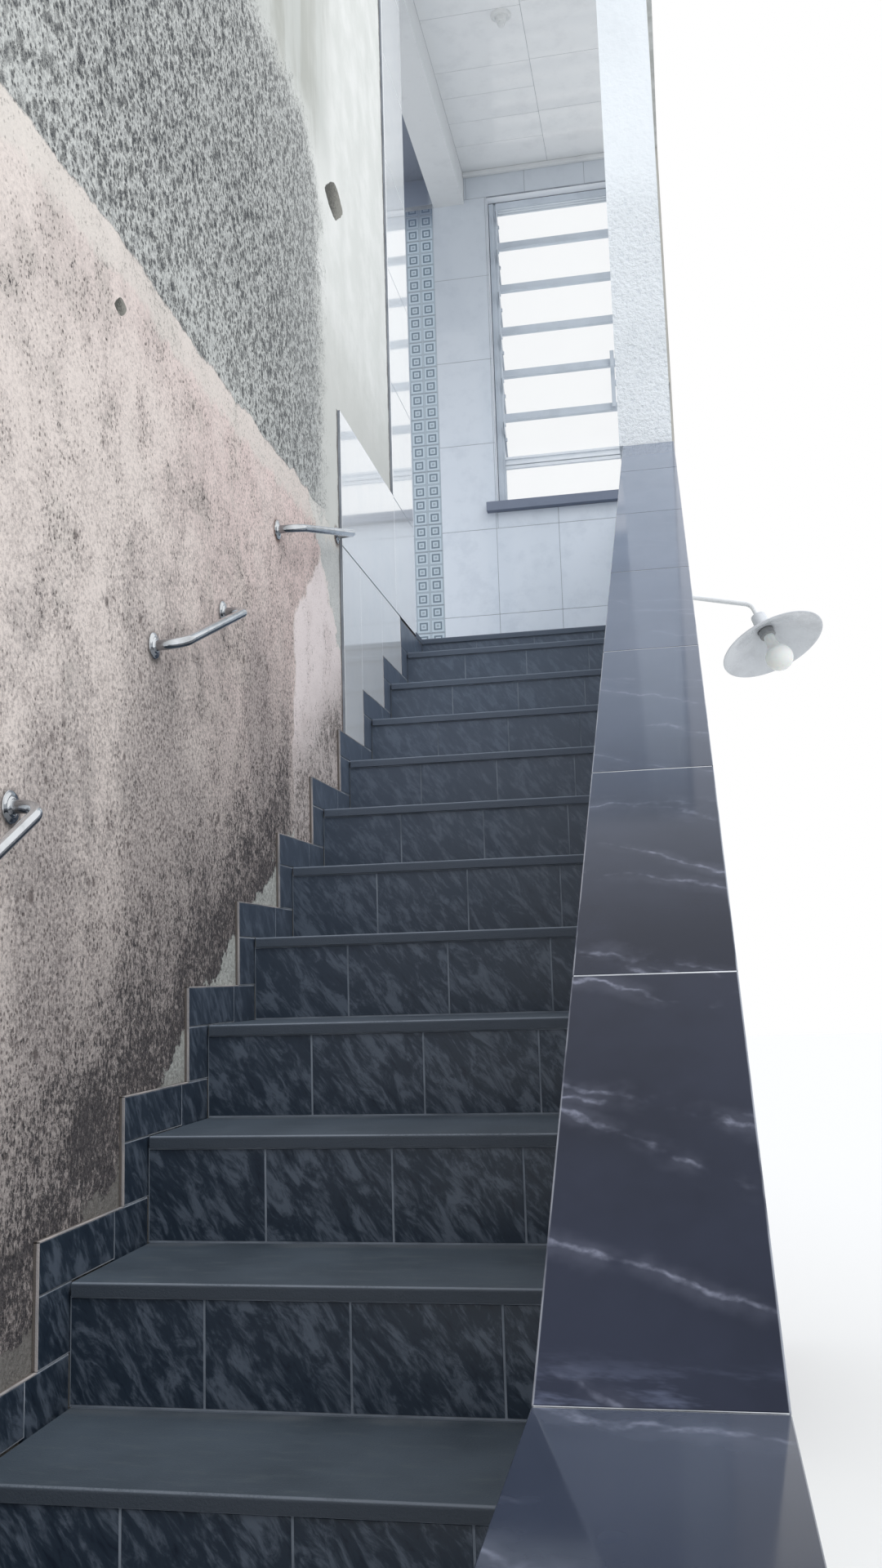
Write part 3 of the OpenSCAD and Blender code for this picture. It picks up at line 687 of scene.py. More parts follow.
# %% Lay the skirting
# Each step of the skirting starts this far before its riser, stands this high over the
# tread, and has a tile this long before its short one
FRONT, SKIRT, LONG = 96, 75, 248
rows, bed, rim = bmesh.new(), bmesh.new(), bmesh.new()
for k in range(1, STEPS + 1):
    front, riser = (k - 1) * GOING - FRONT, (k - 1) * GOING + TILE
    top, high = TOPS[k], (TOPS[k] + SKIRT if k < STEPS else FLOOR - SLAB)
    below = TOPS[k - 1] + SKIRT if k > 1 else 0
    end = k * GOING if k < STEPS else RUN + TILE - 0.5
    floor = top - SLAB + 0.5
    box(rows, (FACE, front + 2.5, below + 1.2), (-1, riser - 1, top - 1.2))
    box(rows, (FACE, front + 2.5, top + 1.2), (-1, front + LONG, high - 2.5))
    box(rows, (FACE, front + LONG + 2.5, floor), (-1, end - 1, high - 2.5))
    box(bed, (FACE, front + 1, below), (-1.8, riser - 1, top + 1), 0)
    box(bed, (FACE, front + 1, top), (-1.8, end, high - 1), 0)
    box(rim, (FACE, front, below), (-1.2, front + 2.6, high), 0.6)
    box(rim, (FACE, front, high - 2.6), (-1.2, end - (FRONT if k < STEPS else 0), high), 0.6)
piece("skirting_tiles", rows, dark_tile, "dark_tile", "skirting")
piece("skirting_grout", bed, skirting_grout, "dark_tile")
piece("skirting_edge", rim, edge_mortar, "dark_tile")

# %% [markdown]
# ## Stone treads
# Each tread is one slab of dark slate with an eased nosing. It is matt, greyer where feet
# have worn it and dusty near the riser behind. The slabs are right as solids, so they
# only take a material, and the dusty line at the back comes from the distance to it.


# %% Paint the treads
def slate_finish():
    f = Finish("honed_slate")
    fine = f.noise(f.place, 320.0, 3.0, 0.7)
    soft = f.noise(f.place, 4.0, 4.0, 0.6)
    scratch = f.noise(f.vector(f.x * 0.25, f.y, f.z), 60.0, 3.0, 0.6)
    along = (f.y + NOSING * MM + 0.001) % (GOING * MM)
    colour = f.mix(soft.step(0.3, 0.7), (57, 67, 77), (73, 84, 95))
    colour = f.mix(scratch.step(0.5, 0.75) * 0.5, colour, (84, 93, 99))
    colour = f.mix(fine.step(0.55, 0.8) * 0.35, colour, (112, 118, 124))
    # A paler band behind each nosing's edge: wear, and a painted highlight that is stronger higher up the
    # flight
    edge = along.band(0.0012, 0.0025, 0.0045, 0.0065) * (fine * 0.5 + soft).step(0.45, 0.75)
    colour = f.mix(edge * (0.45 + 0.35 * f.z.step(0.9, 1.5)), colour, (126, 134, 145))
    # Painted shade: each nosing's front face is darker
    colour = f.mix((1 - along.step(0.0012, 0.0025)) * 0.85, colour, (54, 62, 72))
    back = (along - GOING * MM + 0.035).step(0.0, 0.03) * soft.step(0.4, 0.6)
    colour = f.mix(back * 0.35, colour, (118, 122, 126))
    # Painted light: the treads turn paler towards the top of the flight, as the risers do
    colour = f.mix(f.z.step(1.1, 2.6) * 0.48, colour, (112, 124, 142))
    # The window's sill is paler than the steps
    colour = f.mix(f.z.step(3.5, 3.6) * 0.5, colour, (136, 144, 166))
    relief = f.bump(fine + scratch * 0.5, 0.0008)
    return f.surface(Base_Color=colour, Roughness=0.55 + 0.2 * soft, Normal=relief)


paint(slate_finish(), *(f"tread_{k:02d}" for k in range(1, STEPS + 1)), "landing_floor", "window_sill")
print("treads painted")

# %% [markdown]
# ## The polished cap
# Long tiles of black stone with a purple cast and thin white veins cover the parapet,
# level at the foot and then up the slope. They are polished, so most of what one sees in
# them is the sky. Their thin joints and the mortar along both edges are pale.


# %% Cap finish
(cap_x0, cap_y0, _), (cap_x1, _, _) = inner("parapet_cap")
PILLAR_Y = inner("pillar")[0][1]
# The guard wall is part of the same solid and starts behind the pillar's shaft
PILLAR_END = PILLAR_Y + 195
LEVEL, CAP_T = 1337, 12
SLOPE = math.atan(RISE / GOING)
OVER_NOSINGS = 635
# Where the cap turns from level to sloped, and its length from there to the pillar
KINK = (LEVEL - OVER_NOSINGS - RISE) / math.tan(SLOPE) - NOSING
LENGTH = (PILLAR_Y - KINK) / math.cos(SLOPE)


def cap_finish():
    f = Finish("polished_black_stone")
    tile = f.mark()
    up_slope = f.y * 0.85 + f.z * 0.53
    cloud = f.noise(f.vector(f.x + tile * 5.0, up_slope * 0.8 + tile * 9.0, tile * 3.0), 4.0, 4.0, 0.6)
    veins = 0.0
    for lean, gap, seed in ((0.42, 4.6, 1.0), (0.7, 3.1, 5.0), (0.25, 2.3, 9.0)):
        across = up_slope + f.x * lean
        place = f.vector(f.x + tile * seed * 7.0, up_slope + tile * 3.0, seed)
        bend = f.noise(place, 3.0, 2.0) * 0.16 + f.noise(place, 26.0, 3.0, 0.55) * 0.035
        line = abs((across * gap + tile * seed * 13.0 + bend * gap) % 1.0 - 0.5)
        shown = f.noise(place, 7.0, 4.0, 0.65).step(0.44, 0.62)
        torn = f.noise(place, 55.0, 3.0, 0.7).step(0.35, 0.65)
        core = 1 - line.step(0.0, 0.006 * gap)
        glow = 1 - line.step(0.0, 0.030 * gap)
        veins = ((core * (0.18 + 0.42 * torn) + glow * 0.13) * shown).top(veins)
    colour = f.mix(cloud.step(0.35, 0.7), (21, 26, 42), (32, 37, 54))
    colour = f.mix(veins, colour, (128, 132, 150))
    # Cement dust dried on the lowest hand's width of the slope
    dusty = f.noise(f.vector(f.x + up_slope * 1.2, up_slope * 3.0, 0.0), 11.0, 4.0, 0.7)
    past = f.y - KINK * MM
    first = past.step(0.0002, 0.0026) * (1 - (past + f.x * 0.06).step(0.0526, 0.1026))
    colour = f.mix(dusty.step(0.46, 0.66) * first * 0.32, colour, (112, 120, 146))
    # A painted sheen: dust in the polish is painted milky where the cap is seen at a low angle
    facing = f.add("ShaderNodeLayerWeight", {}, {"Blend": 0.5}, "Facing")
    sloped = (f.z - LEVEL * MM).step(0.001, 0.063)
    dust_sheen = facing.step(0.48, 0.81) * (0.8 + 0.3 * cloud) * (0.3 + 0.7 * sloped)
    colour = f.mix(dust_sheen, colour, (108, 119, 139))
    # Pale mortar smeared along both long edges
    rim = (f.x - cap_x0 * MM).low(cap_x1 * MM - f.x) + (1 - past.step(-0.0014, 0.0006)) * 0.1
    smear = f.noise(f.vector(f.x, up_slope * 0.3, 0.0), 30.0, 3.0)
    smear = (1 - rim.step(0.0010, 0.0022)) * smear.step(0.35, 0.6)
    colour = f.mix(smear * 0.8, colour, (150, 155, 165))
    rough = 0.06 + 0.06 * f.noise(f.place, 7.0, 4.0, 0.6).step(0.4, 0.8)
    return f.surface(Base_Color=colour, Roughness=rough, IOR=1.32, Specular_Tint=(0.86, 0.93, 1.0))


cap_stone = cap_finish()
pale_grout = grout_finish("pale_grout", (206, 209, 214), (160, 164, 170))

# %% Lay the cap
CAP_JOINTS = (0, 0.139, 0.278, 0.421, 0.566, 0.72, 0.876, 1)
turn = ((0, KINK, LEVEL), SLOPE, "X")
rows, bed = bmesh.new(), bmesh.new()
for a, b in zip(CAP_JOINTS, CAP_JOINTS[1:]):
    start, end = KINK + a * LENGTH + 1.1, KINK + b * LENGTH - (1.1 if b < 1 else CAP_T * math.tan(SLOPE))
    box(rows, (cap_x0, start, LEVEL - CAP_T), (cap_x1, end, LEVEL), 1.0, turn=turn)
low, high = (cap_x0 + 1.5, KINK + 1, LEVEL - CAP_T), (cap_x1 - 1.5, KINK + LENGTH - 8, LEVEL - 0.6)
box(bed, low, high, 0, turn=turn)
TILE_LENGTH = 600
for y1 in (KINK, KINK - TILE_LENGTH):
    y0 = max(cap_y0, y1 - TILE_LENGTH + 1.1)
    box(rows, (cap_x0, y0, LEVEL - CAP_T), (cap_x1, y1 - 1.1, LEVEL), 1.0)
box(bed, (cap_x0 + 1.5, cap_y0 + 1, LEVEL - CAP_T), (cap_x1 - 1.5, KINK, LEVEL - 0.6), 0)
GUARD = FLOOR + 1000
box(rows, (cap_x0, PILLAR_END, GUARD - CAP_T), (cap_x1, FAR_Y, GUARD), 1.5)
piece("cap_tiles", rows, cap_stone, "black_tile", "parapet_cap")
piece("cap_grout", bed, pale_grout, "black_tile")

# %% [markdown]
# ## White wall tiles
# The landing's far wall has glazed white tiles in a stack bond, with a strip of small
# geometric tiles at its left. The top of the side wall is tiled too. The glaze is very
# smooth, and mirrors the sky over the parapet.


# %% White tile finishes
def white_tile_finish(name, colour, cloud, ior=1.5, coat=0.3):
    f = Finish(name)
    tile = f.mark()
    soft = f.noise(f.vector(f.x + tile * 9.0, f.y + tile * 5.0, f.z), 9.0, 5.0, 0.65)
    wave = f.noise(f.place, 5.0, 1.0)
    shade = f.mix(soft.step(0.45, 0.7) * 0.5, colour, cloud)
    far_end = f.y.step(5.9, 6.0)
    # Painted shade: the far wall's tiles darken towards the ceiling
    shade = f.mix(f.z.step(3.6, 5.6) * far_end * 0.55, shade, (176, 182, 188))
    # Painted shadow: the tiles are darker high in the corner by the side passage
    passage_corner_shade = f.z.step(5.45, 5.62) * (1 - f.x.step(-0.20, -0.15)) * far_end
    shade = f.mix(passage_corner_shade * 0.8, shade, (104, 115, 136))
    rough, relief = 0.06 + 0.06 * soft, f.bump(wave, 0.002, 0.25)
    return f.surface(Base_Color=shade, Roughness=rough, Coat_Weight=coat, IOR=ior, Normal=relief)


white_tile = white_tile_finish("white_glazed_tile", (226, 234, 244), (207, 216, 228))
side_tile = white_tile_finish("bright_glazed_tile", (249, 252, 254), (240, 245, 250), 2.0, 1.0)
ceiling_tile = white_tile_finish("ceiling_glazed_tile", (238, 240, 241), (224, 226, 228))
wall_grout = grout_finish("white_tile_grout", (160, 166, 174), (132, 138, 146))
STRIP_X, STRIP_WIDE, STRIP_HIGH = -311, 71.5, 70


def deco_finish():
    """Two small tiles side by side, each with a square in a square in a thin frame."""
    f = Finish("geometric_strip_tile")
    column = (f.x - STRIP_X * MM) % (STRIP_WIDE * MM) - STRIP_WIDE / 2 * MM
    row = (f.z - FLOOR * MM) % (STRIP_HIGH * MM) - STRIP_HIGH / 2 * MM
    ring = abs(column).top(abs(row))
    soft = f.noise(f.place, 60.0, 3.0)
    teal, pale = (126, 143, 157), (199, 213, 224)
    frame_line = ring.band(0.0295, 0.0305, 0.0325, 0.0335)
    outer = ring.band(0.0125, 0.0135, 0.0205, 0.0215)
    heart = 1 - ring.step(0.006, 0.007)
    colour = f.mix(outer.top(heart * 0.55), pale, f.mix(soft, teal, (110, 127, 142)))
    colour = f.mix(frame_line * 0.7, colour, (138, 154, 167))
    # Painted shadow: the strip turns dark high up, beside the beam
    colour = f.mix(f.z.step(5.45, 5.62) * 0.75, colour, (92, 104, 126))
    return f.surface(Base_Color=colour, Roughness=0.2)


deco_tile = deco_finish()

# %% Tile the far wall
(far_x0, _, _), (far_x1, _, _) = inner("far_wall_tiles")
(win_x0, _, _), (win_x1, _, win_z1) = inner("window_frame")
sill_z0 = inner("window_sill")[0][2]
beam_x0, beam_z0 = inner("side_beam")[0][0], inner("side_beam")[0][2]
# Joints below the highest row of tiles, and of the highest row, which starts afresh
COLUMNS = [(far_x0, STRIP_X), (-168, 108), (108, 418), (418, 728), (728, far_x1)]
LEVELS = [FLOOR - SLAB, 2963, 3411, 3851, 4300, 4749, 5204, 5638]
HEAD_COLUMNS = [(0, 10), (10, 317), (317, 624), (624, far_x1)]
WINDOW_HOLE = (win_x0, win_x1, sill_z0, win_z1)
BEAM_HOLE = (beam_x0, 0, beam_z0, CEILING + 1)


def clear_of(part, hole):
    """The share of a tile, as (x0, x1, z0, z1) boxes, that is left beside a hole."""
    x0, x1, z0, z1 = part
    a0, a1, b0, b1 = hole
    if x1 <= a0 or x0 >= a1 or z1 <= b0 or z0 >= b1:
        return [part]
    left = [(x0, a0, z0, z1), (a1, x1, z0, z1)]
    middle = [(max(x0, a0), min(x1, a1), z0, b0), (max(x0, a0), min(x1, a1), b1, z1)]
    return [p for p in left + middle if p[1] - p[0] > 3 and p[3] - p[2] > 3]


def cut(parts, hole, lowest=0):
    """Cuts the hole out of the parts that start at lowest or above it."""
    return [p for part in parts for p in (clear_of(part, hole) if part[2] >= lowest else [part])]


fields = [(x0, x1, z0, z1) for x0, x1 in COLUMNS for z0, z1 in zip(LEVELS, LEVELS[1:])]
fields += [(x0, x1, LEVELS[-1], CEILING) for x0, x1 in HEAD_COLUMNS + [(far_x0, beam_x0)]]
# A tile below the highest row that ends behind the beam stays whole
fields = cut(cut(fields, WINDOW_HOLE), BEAM_HOLE, LEVELS[-1])
rows, bed = bmesh.new(), bmesh.new()
for x0, x1, z0, z1 in fields:
    box(rows, (x0 + 1, FAR_Y - TILE, z0 + 1), (x1 - 1, FAR_Y - 0.5, z1 - 1), 0.8)
for x0, x1, z0, z1 in cut(cut([(far_x0, far_x1, FLOOR - SLAB, CEILING)], WINDOW_HOLE), BEAM_HOLE):
    box(bed, (x0, FAR_Y - TILE + 0.8, z0), (x1, FAR_Y, z1), 0)
piece("far_wall_tile_rows", rows, white_tile, "white_tile", "far_wall_tiles")
piece("far_wall_grout", bed, wall_grout, "white_tile")

# %% Set the geometric strip
rows = bmesh.new()
for i in range(int((beam_z0 - FLOOR) // STRIP_HIGH) + 1):
    z0, z1 = FLOOR + i * STRIP_HIGH, min(FLOOR + (i + 1) * STRIP_HIGH, beam_z0)
    # Every second joint is wide, because the small tiles come in pairs
    under, over = (1.4, 0.5) if i % 2 == 0 else (0.5, 1.4)
    if z1 - z0 > 10:
        for x0 in (STRIP_X, STRIP_X + STRIP_WIDE):
            box(rows, (x0 + 0.6, FAR_Y - TILE, z0 + under), (x0 + 70.9, FAR_Y - 0.5, z1 - over), 0.6)
piece("geometric_strip", rows, deco_tile, "white_tile")

# %% Tile the end of the side wall
(_, end_y0, _), (end_face, end_y1, _) = inner("left_wall_tiles")
SIDE_LEVELS = (2910, 3325, 3757, 4189, 4621, 5053, 5485, CEILING)
# A thin edging stands between the tall field and the plaster
JOINT_Z, TALL_Y = SIDE_LEVELS[0], TALL_FROM + 10
rows, bed = bmesh.new(), bmesh.new()
faces = [(TALL_Y, end_y1, z0, z1) for z0, z1 in zip(SIDE_LEVELS, SIDE_LEVELS[1:])]
faces += [(TALL_FROM, TALL_Y, LOW_TOP, CEILING), (end_y0, TALL_Y, JOINT_Z, LOW_TOP)]
for y0, y1, z0, z1 in faces:
    box(rows, (end_face - TILE, y0 + 1, z0 + 1.5), (end_face, y1 - 1, z1 - 1), 0.8)
for k in range(1, STEPS + 1):
    y0, y1 = max(end_y0, (k - 1) * GOING - FRONT), k * GOING - FRONT
    high = TOPS[k] + SKIRT
    if y1 > y0 and high < JOINT_Z and k < STEPS:
        box(rows, (end_face - TILE, y0 + 0.4, high + 0.5), (end_face, y1 - 0.4, JOINT_Z - 1.5), 0.5)
    if y1 > y0:
        low = min(high + 1, FLOOR - SLAB)
        box(bed, (FACE, y0, low), (end_face - 0.8, min(y1, end_y1 - TILE), JOINT_Z + 3), 0)
box(bed, (FACE, end_y0 + 0.5, FLOOR - SLAB), (end_face - 0.8, end_y1 - 1, LOW_TOP), 0)
box(bed, (FACE, TALL_FROM, LOW_TOP), (end_face - 0.8, end_y1 - 1, CEILING), 0)
END_LEVELS = [FLOOR, *LEVELS[2:-1], CEILING]
for z0, z1 in zip(END_LEVELS, END_LEVELS[1:]):
    box(rows, (beam_x0, end_y1 - TILE + 0.5, z0 + 1), (end_face - 1, end_y1, z1 - 1), 0.8)
piece("side_wall_tile_rows", rows, side_tile, "white_tile", "left_wall_tiles")
piece("side_wall_grout", bed, wall_grout, "white_tile")

# %% [markdown]
# ## The ceiling
# White glazed tiles cover the ceiling under the roof slab, with grey joints. A sheet of
# tiles hangs a few millimetres under the slab, and a thin cornice closes the corner
# with the far wall. The joints run to the side, so the rows break where the cutter
# started a new tile.

# %% Tile the ceiling
CEIL_TILE = 6
LIGHT_X, LIGHT_Y = ((a + b) / 2 for a, b in list(zip(*inner("ceiling_light")))[:2])
front_y = inner("roof_slab")[0][1] + 1
ceiling_rows, ceiling_bed = bmesh.new(), bmesh.new()
back_y = FAR_Y - TILE
for x0, x1, cuts in (
    (0, 442, (front_y, 4500, 4863, 5210, 5391, 5577, 5760, back_y)),
    (442, OUTER, (front_y, 4477, 4842, 5207, 5572, back_y)),
):
    for y0, y1 in zip(cuts, cuts[1:]):
        low, high = (x0 + 0.8, y0 + 0.8, CEILING - CEIL_TILE), (x1 - 0.8, y1 - 0.8, CEILING - 0.5)
        box(ceiling_rows, low, high, 0.8)
box(ceiling_bed, (0, front_y, CEILING - CEIL_TILE + 1), (OUTER, back_y, CEILING), 0)
piece("ceiling_tile_rows", ceiling_rows, ceiling_tile, "white_tile")
piece("ceiling_grout", ceiling_bed, wall_grout, "white_tile")
cornice = bmesh.new()
box(cornice, (0, back_y - 22, CEILING - CEIL_TILE - 24), (WIDTH - 18, back_y, CEILING - CEIL_TILE), 3)
piece("cornice", cornice, smooth_white, "white_plaster")

# %% [markdown]
# ## The steel window
# Six glass panes pivot one over another in a grey steel frame, over a fixed pane. They
# stand open: heads in, feet out. The frame is rolled steel, so it is made here from
# bars with eased edges: an outer ring with a thinner lip, a rail under each pane, a
# steel edge along both sides of each pane and a lever rod with its links.

# %% Painted steel and glass
def paint_finish(name, colour, worn, gloss):
    f = Finish(name)
    soft = f.noise(f.place, 8.0, 4.0, 0.6)
    chips = f.noise(f.place, 60.0, 4.0, 0.7)
    shade = f.mix(soft.step(0.4, 0.7) * 0.5, colour, worn)
    return f.surface(Base_Color=shade, Roughness=gloss + 0.15 * soft, Normal=f.bump(chips, 0.0008, 0.4))


steel_paint = paint_finish("grey_steel_paint", (206, 214, 223), (184, 192, 201), 0.4)
# Painted highlight: the head's thin rails and the lowest rail take this paler copy of the steel paint
light_rail = paint_finish("light_steel_paint", (240, 245, 250), (222, 228, 235), 0.35)


def glass_finish():
    f = Finish("clear_window_glass")
    haze = f.noise(f.place, 3.0, 3.0)
    clear = f.add("ShaderNodeBsdfTransparent", {}, {"Color": (0.99, 0.995, 1.0, 1)})
    f.surface(Base_Color=f.mix(haze, (228, 236, 240), (240, 245, 248)), Roughness=0.04)
    facing = f.add("ShaderNodeLayerWeight", {}, {"Blend": 0.25}, "Fresnel")
    both = f.add("ShaderNodeMixShader", {}, {0: (facing * 0.6 + 0.03 + haze * 0.04), 1: clear})
    f.tree.links.new(f.shader.outputs[0], both.out.node.inputs[2])
    f.tree.links.new(both.out, f.tree.nodes["Material Output"].inputs[0])
    return f.material


# Dark strips, painted shadow in the gaps round the frame and beside the panes
gap_shadow_paint = paint_finish("painted_gap_shadow", (92, 98, 108), (116, 122, 132), 0.6)
paint(glass_finish(), "window_glass")

# %% Build the window
(wx0, wy0, wz0), (wx1, wy1, wz1) = inner("window_frame")
STILE, RAIL, PANES = 40, 42, 6
FIRST_RAIL, TOP_LIGHT = 247, 174
PITCH_Z = (wz1 - wz0 - STILE - TOP_LIGHT - RAIL / 2 - FIRST_RAIL) / (PANES - 1)
mid_wy = (wy0 + wy1) / 2
steel, rails, gap_shadow_strips = bmesh.new(), bmesh.new(), bmesh.new()
# Painted shadow in the gap at the frame's left side and head
box(gap_shadow_strips, (wx0 + 0.5, wy0 - 0.6, wz0), (wx0 + 4, wy0 + 4, wz1 - 0.5), 0.5)
box(gap_shadow_strips, (wx0 + 4, wy0 - 0.6, wz1 - 4), (wx1 - 4, wy0 + 4, wz1 - 0.5), 0.5)
in_x0, in_x1 = wx0 + STILE, wx1 - STILE
# Each bar of the ring, and how much less its lip covers at the left, right, foot and head
for x0, x1, z0, z1, less in (
    (wx0, in_x0, wz0, wz1, (0, 12, 0, 0)), (in_x1, wx1, wz0, wz1, (12, 0, 0, 0)),
    (in_x0, in_x1, wz0, wz0 + STILE, (0, 0, 6, 12)), (in_x0, in_x1, wz1 - STILE, wz1, (0, 0, 0, 0)),
):
    box(steel, (x0, wy0 + 10, z0), (x1, wy1, z1), 1.5)
    low, high = (x0 + less[0], wy0, z0 + less[2]), (x1 - less[1], wy0 + 10.5, z1 - less[3])
    box(steel, low, high, 1.2)
for depth, drop in ((6, 6), (16, 14), (26, 22)):
    box(rails, (in_x0, wy0 + depth, wz1 - STILE - drop), (in_x1, wy0 + depth + 4, wz1 - STILE), 0.8)
TILT = math.radians(32)
HALF_RAIL = RAIL / 2
for i in range(PANES):
    rail_z = wz0 + FIRST_RAIL + i * PITCH_Z
    target = rails if i == 0 else steel
    box(target, (in_x0, mid_wy - 3, rail_z - HALF_RAIL), (in_x1, mid_wy + 15, rail_z + HALF_RAIL), 1.5)
    box(target, (in_x0, mid_wy - 11, rail_z - HALF_RAIL), (in_x1, mid_wy - 3, rail_z - HALF_RAIL + 9), 1)
    if i == 0:
        box(target, (in_x0, mid_wy - 11, rail_z + 8), (in_x1, mid_wy - 3, rail_z + HALF_RAIL), 1)
        low, high = rail_z - HALF_RAIL - 20, rail_z - HALF_RAIL - 3
        box(target, (in_x0, mid_wy - 8, low), (in_x1, mid_wy + 8, high), 1)
    low = rail_z + HALF_RAIL
    high = low + (PITCH_Z - RAIL if i < PANES - 1 else TOP_LIGHT)
    half, pane_z = (high - low) / 2 - 6, (low + high) / 2
    spin = ((0, mid_wy, pane_z), TILT, "X")
    # Both sides of a pane: steel edge, a dark strip of painted shadow behind it and a thin one in front of
    # it, and the pivot
    for x0, lip_x, pivot_x in ((in_x0, in_x0, in_x0), (in_x1 - 7, in_x1 - 2, in_x1 - 13)):
        for target, a, y0, wide, deep, ease in (
            (steel, x0, -6, 7, 3, 0.6), (gap_shadow_strips, x0, 3, 7, 3, 0.6), (gap_shadow_strips, lip_x, -7.5, 2, 1.6, 0.4),
        ):
            low, high = (a, mid_wy + y0, pane_z - half), (a + wide, mid_wy + y0 + deep, pane_z + half)
            box(target, low, high, ease, turn=spin)
        box(steel, (pivot_x, mid_wy - 6, pane_z - 9), (pivot_x + 13, mid_wy + 6, pane_z + 9), 2)
    head_y, head_z = mid_wy - half * math.sin(TILT), pane_z + half * math.cos(TILT)
    link_x = in_x0 + 8
    box(steel, (link_x, head_y - 4, head_z - 26), (link_x + 5, head_y + 4, head_z), 1)
    box(steel, (link_x + 1, head_y - 22, head_z - 26), (link_x + 6, head_y + 2, head_z - 18), 1)
rod_y = mid_wy - (PITCH_Z - RAIL) / 2 * math.sin(TILT) - 20
box(steel, (in_x0 + 7, rod_y, wz0 + FIRST_RAIL + 120), (in_x0 + 11, rod_y + 10, wz1 - STILE - 30), 1)
# The lever on the far stile: its bar, its bracket and its grip
LEVER_LOW, LEVER_HIGH = 4436, 4747
lever_x0, lever_x1 = in_x1 - 50, in_x1 - 30
box(steel, (lever_x0, wy0 - 6, LEVER_LOW), (lever_x1, wy0 - 1, LEVER_HIGH), 1.5)
box(steel, (lever_x0 + 4, wy0 - 2, LEVER_LOW + 124), (in_x1 + 4, wy0 + 12, LEVER_LOW + 154), 2)
box(steel, (lever_x0, wy0 - 20, LEVER_LOW + 4), (lever_x1, wy0 - 5, LEVER_LOW + 26), 4)
piece("window_steelwork", steel, steel_paint, "window_steel", "window_frame")
piece("window_light_rails", rails, light_rail, "window_steel")
piece("window_gap_shadows", gap_shadow_strips, gap_shadow_paint, "window_steel")

# %% [markdown]
# ## Round pieces
# Bars, flanges, the lamp and the ceiling light are all round, so one helper turns a
# side view about an axis. The side view is a row of (radius, height) points. A full
# spin merges its last step with its first, and points on the axis are merged after it.


# %% The lathe and the tube
def settle(bm, place):
    """Merges what was just made, moves it with a matrix and tags it as done."""
    bmesh.ops.remove_doubles(bm, verts=[v for v in bm.verts if not v.tag], dist=1e-6)
    bmesh.ops.transform(bm, matrix=place, verts=[v for v in bm.verts if not v.tag])
    for v in bm.verts:
        v.tag = True


def lathe(bm, points, place, steps=48):
    """Spins a side view, a row of (radius, height) points, into a round shape."""
    verts = [bm.verts.new((r * MM, 0, h * MM)) for r, h in points]
    edges = [bm.edges.new(pair) for pair in zip(verts, verts[1:])]
    about = {"cent": (0, 0, 0), "axis": (0, 0, 1), "angle": math.tau, "steps": steps}
    bmesh.ops.spin(bm, geom=verts + edges, use_merge=True, **about)
    settle(bm, place)


def tube(bm, radius, path, place):
    """A round bar: path holds straight lengths and (bend radius, angle) pairs."""
    made = bmesh.ops.create_circle(bm, cap_ends=False, segments=24, radius=radius * MM)
    loop = made["verts"]
    edges = list({e for v in loop for e in v.link_edges})
    head = Matrix.Identity(4)
    for step in path:
        if isinstance(step, tuple):
            bend, angle = step
            centre = head @ Vector((bend * MM, 0, 0))
            axis = head.to_3x3() @ Vector((0, 1, 0))
            made = bmesh.ops.spin(bm, geom=loop + edges, cent=centre, axis=axis, angle=angle, steps=14)
            last = made["geom_last"]
            turn = Matrix.Rotation(angle, 4, axis)
            head = Matrix.Translation(centre) @ turn @ Matrix.Translation(-centre) @ head
        else:
            last = bmesh.ops.extrude_edge_only(bm, edges=edges)["geom"]
            shift = head.to_3x3() @ Vector((0, 0, step * MM))
            bmesh.ops.translate(bm, vec=shift, verts=[g for g in last if isinstance(g, bmesh.types.BMVert)])
            head = Matrix.Translation(shift) @ head
        loop = [g for g in last if isinstance(g, bmesh.types.BMVert)]
        edges = [g for g in last if isinstance(g, bmesh.types.BMEdge)]
    settle(bm, place)


def turned(name, points, place, steps, *about):
    """A piece that is one spun side view."""
    bm = bmesh.new()
    lathe(bm, points, place, steps)
    return piece(name, bm, *about)


# %% [markdown]
# ## Stainless grab bars
# Each bar is one polished tube with two square bends, and a domed flange at each end
# where it is screwed to the wall. The tube is a circle that is extruded, spun through
# the bend, extruded again, and so on to the other flange.


# %% Polished steel
def polished_finish():
    f = Finish("polished_stainless_steel")
    scratches = f.noise(f.place, 260.0, 3.0, 0.7)
    film = f.noise(f.place, 14.0, 4.0, 0.6)
    colour = f.mix(film.step(0.4, 0.75), (222, 226, 230), (188, 192, 196))
    out = f.x - FACE * MM
    # Painted shade: the tube is darker on its legs, between the flange and the bend
    colour = f.mix(out.band(0.006, 0.010, 0.020, 0.048) * 0.65, colour, (112, 114, 118))
    # The high bar, the last one up the stair, has the rustiest flanges
    rusty = f.noise(f.place, 90.0, 3.0).step(0.35, 0.6) * (0.1 + 0.85 * f.y.step(2.5, 2.6))
    rust = (1 - out.step(0.0012, 0.004)) * rusty
    colour = f.mix(rust, colour, (96, 68, 54))
    rough, relief = 0.07 + 0.08 * film + rust * 0.4, f.bump(scratches, 0.0003, 0.3)
    return f.surface(Base_Color=colour, Metallic=1.0, Roughness=rough, Normal=relief)


polished = polished_finish()

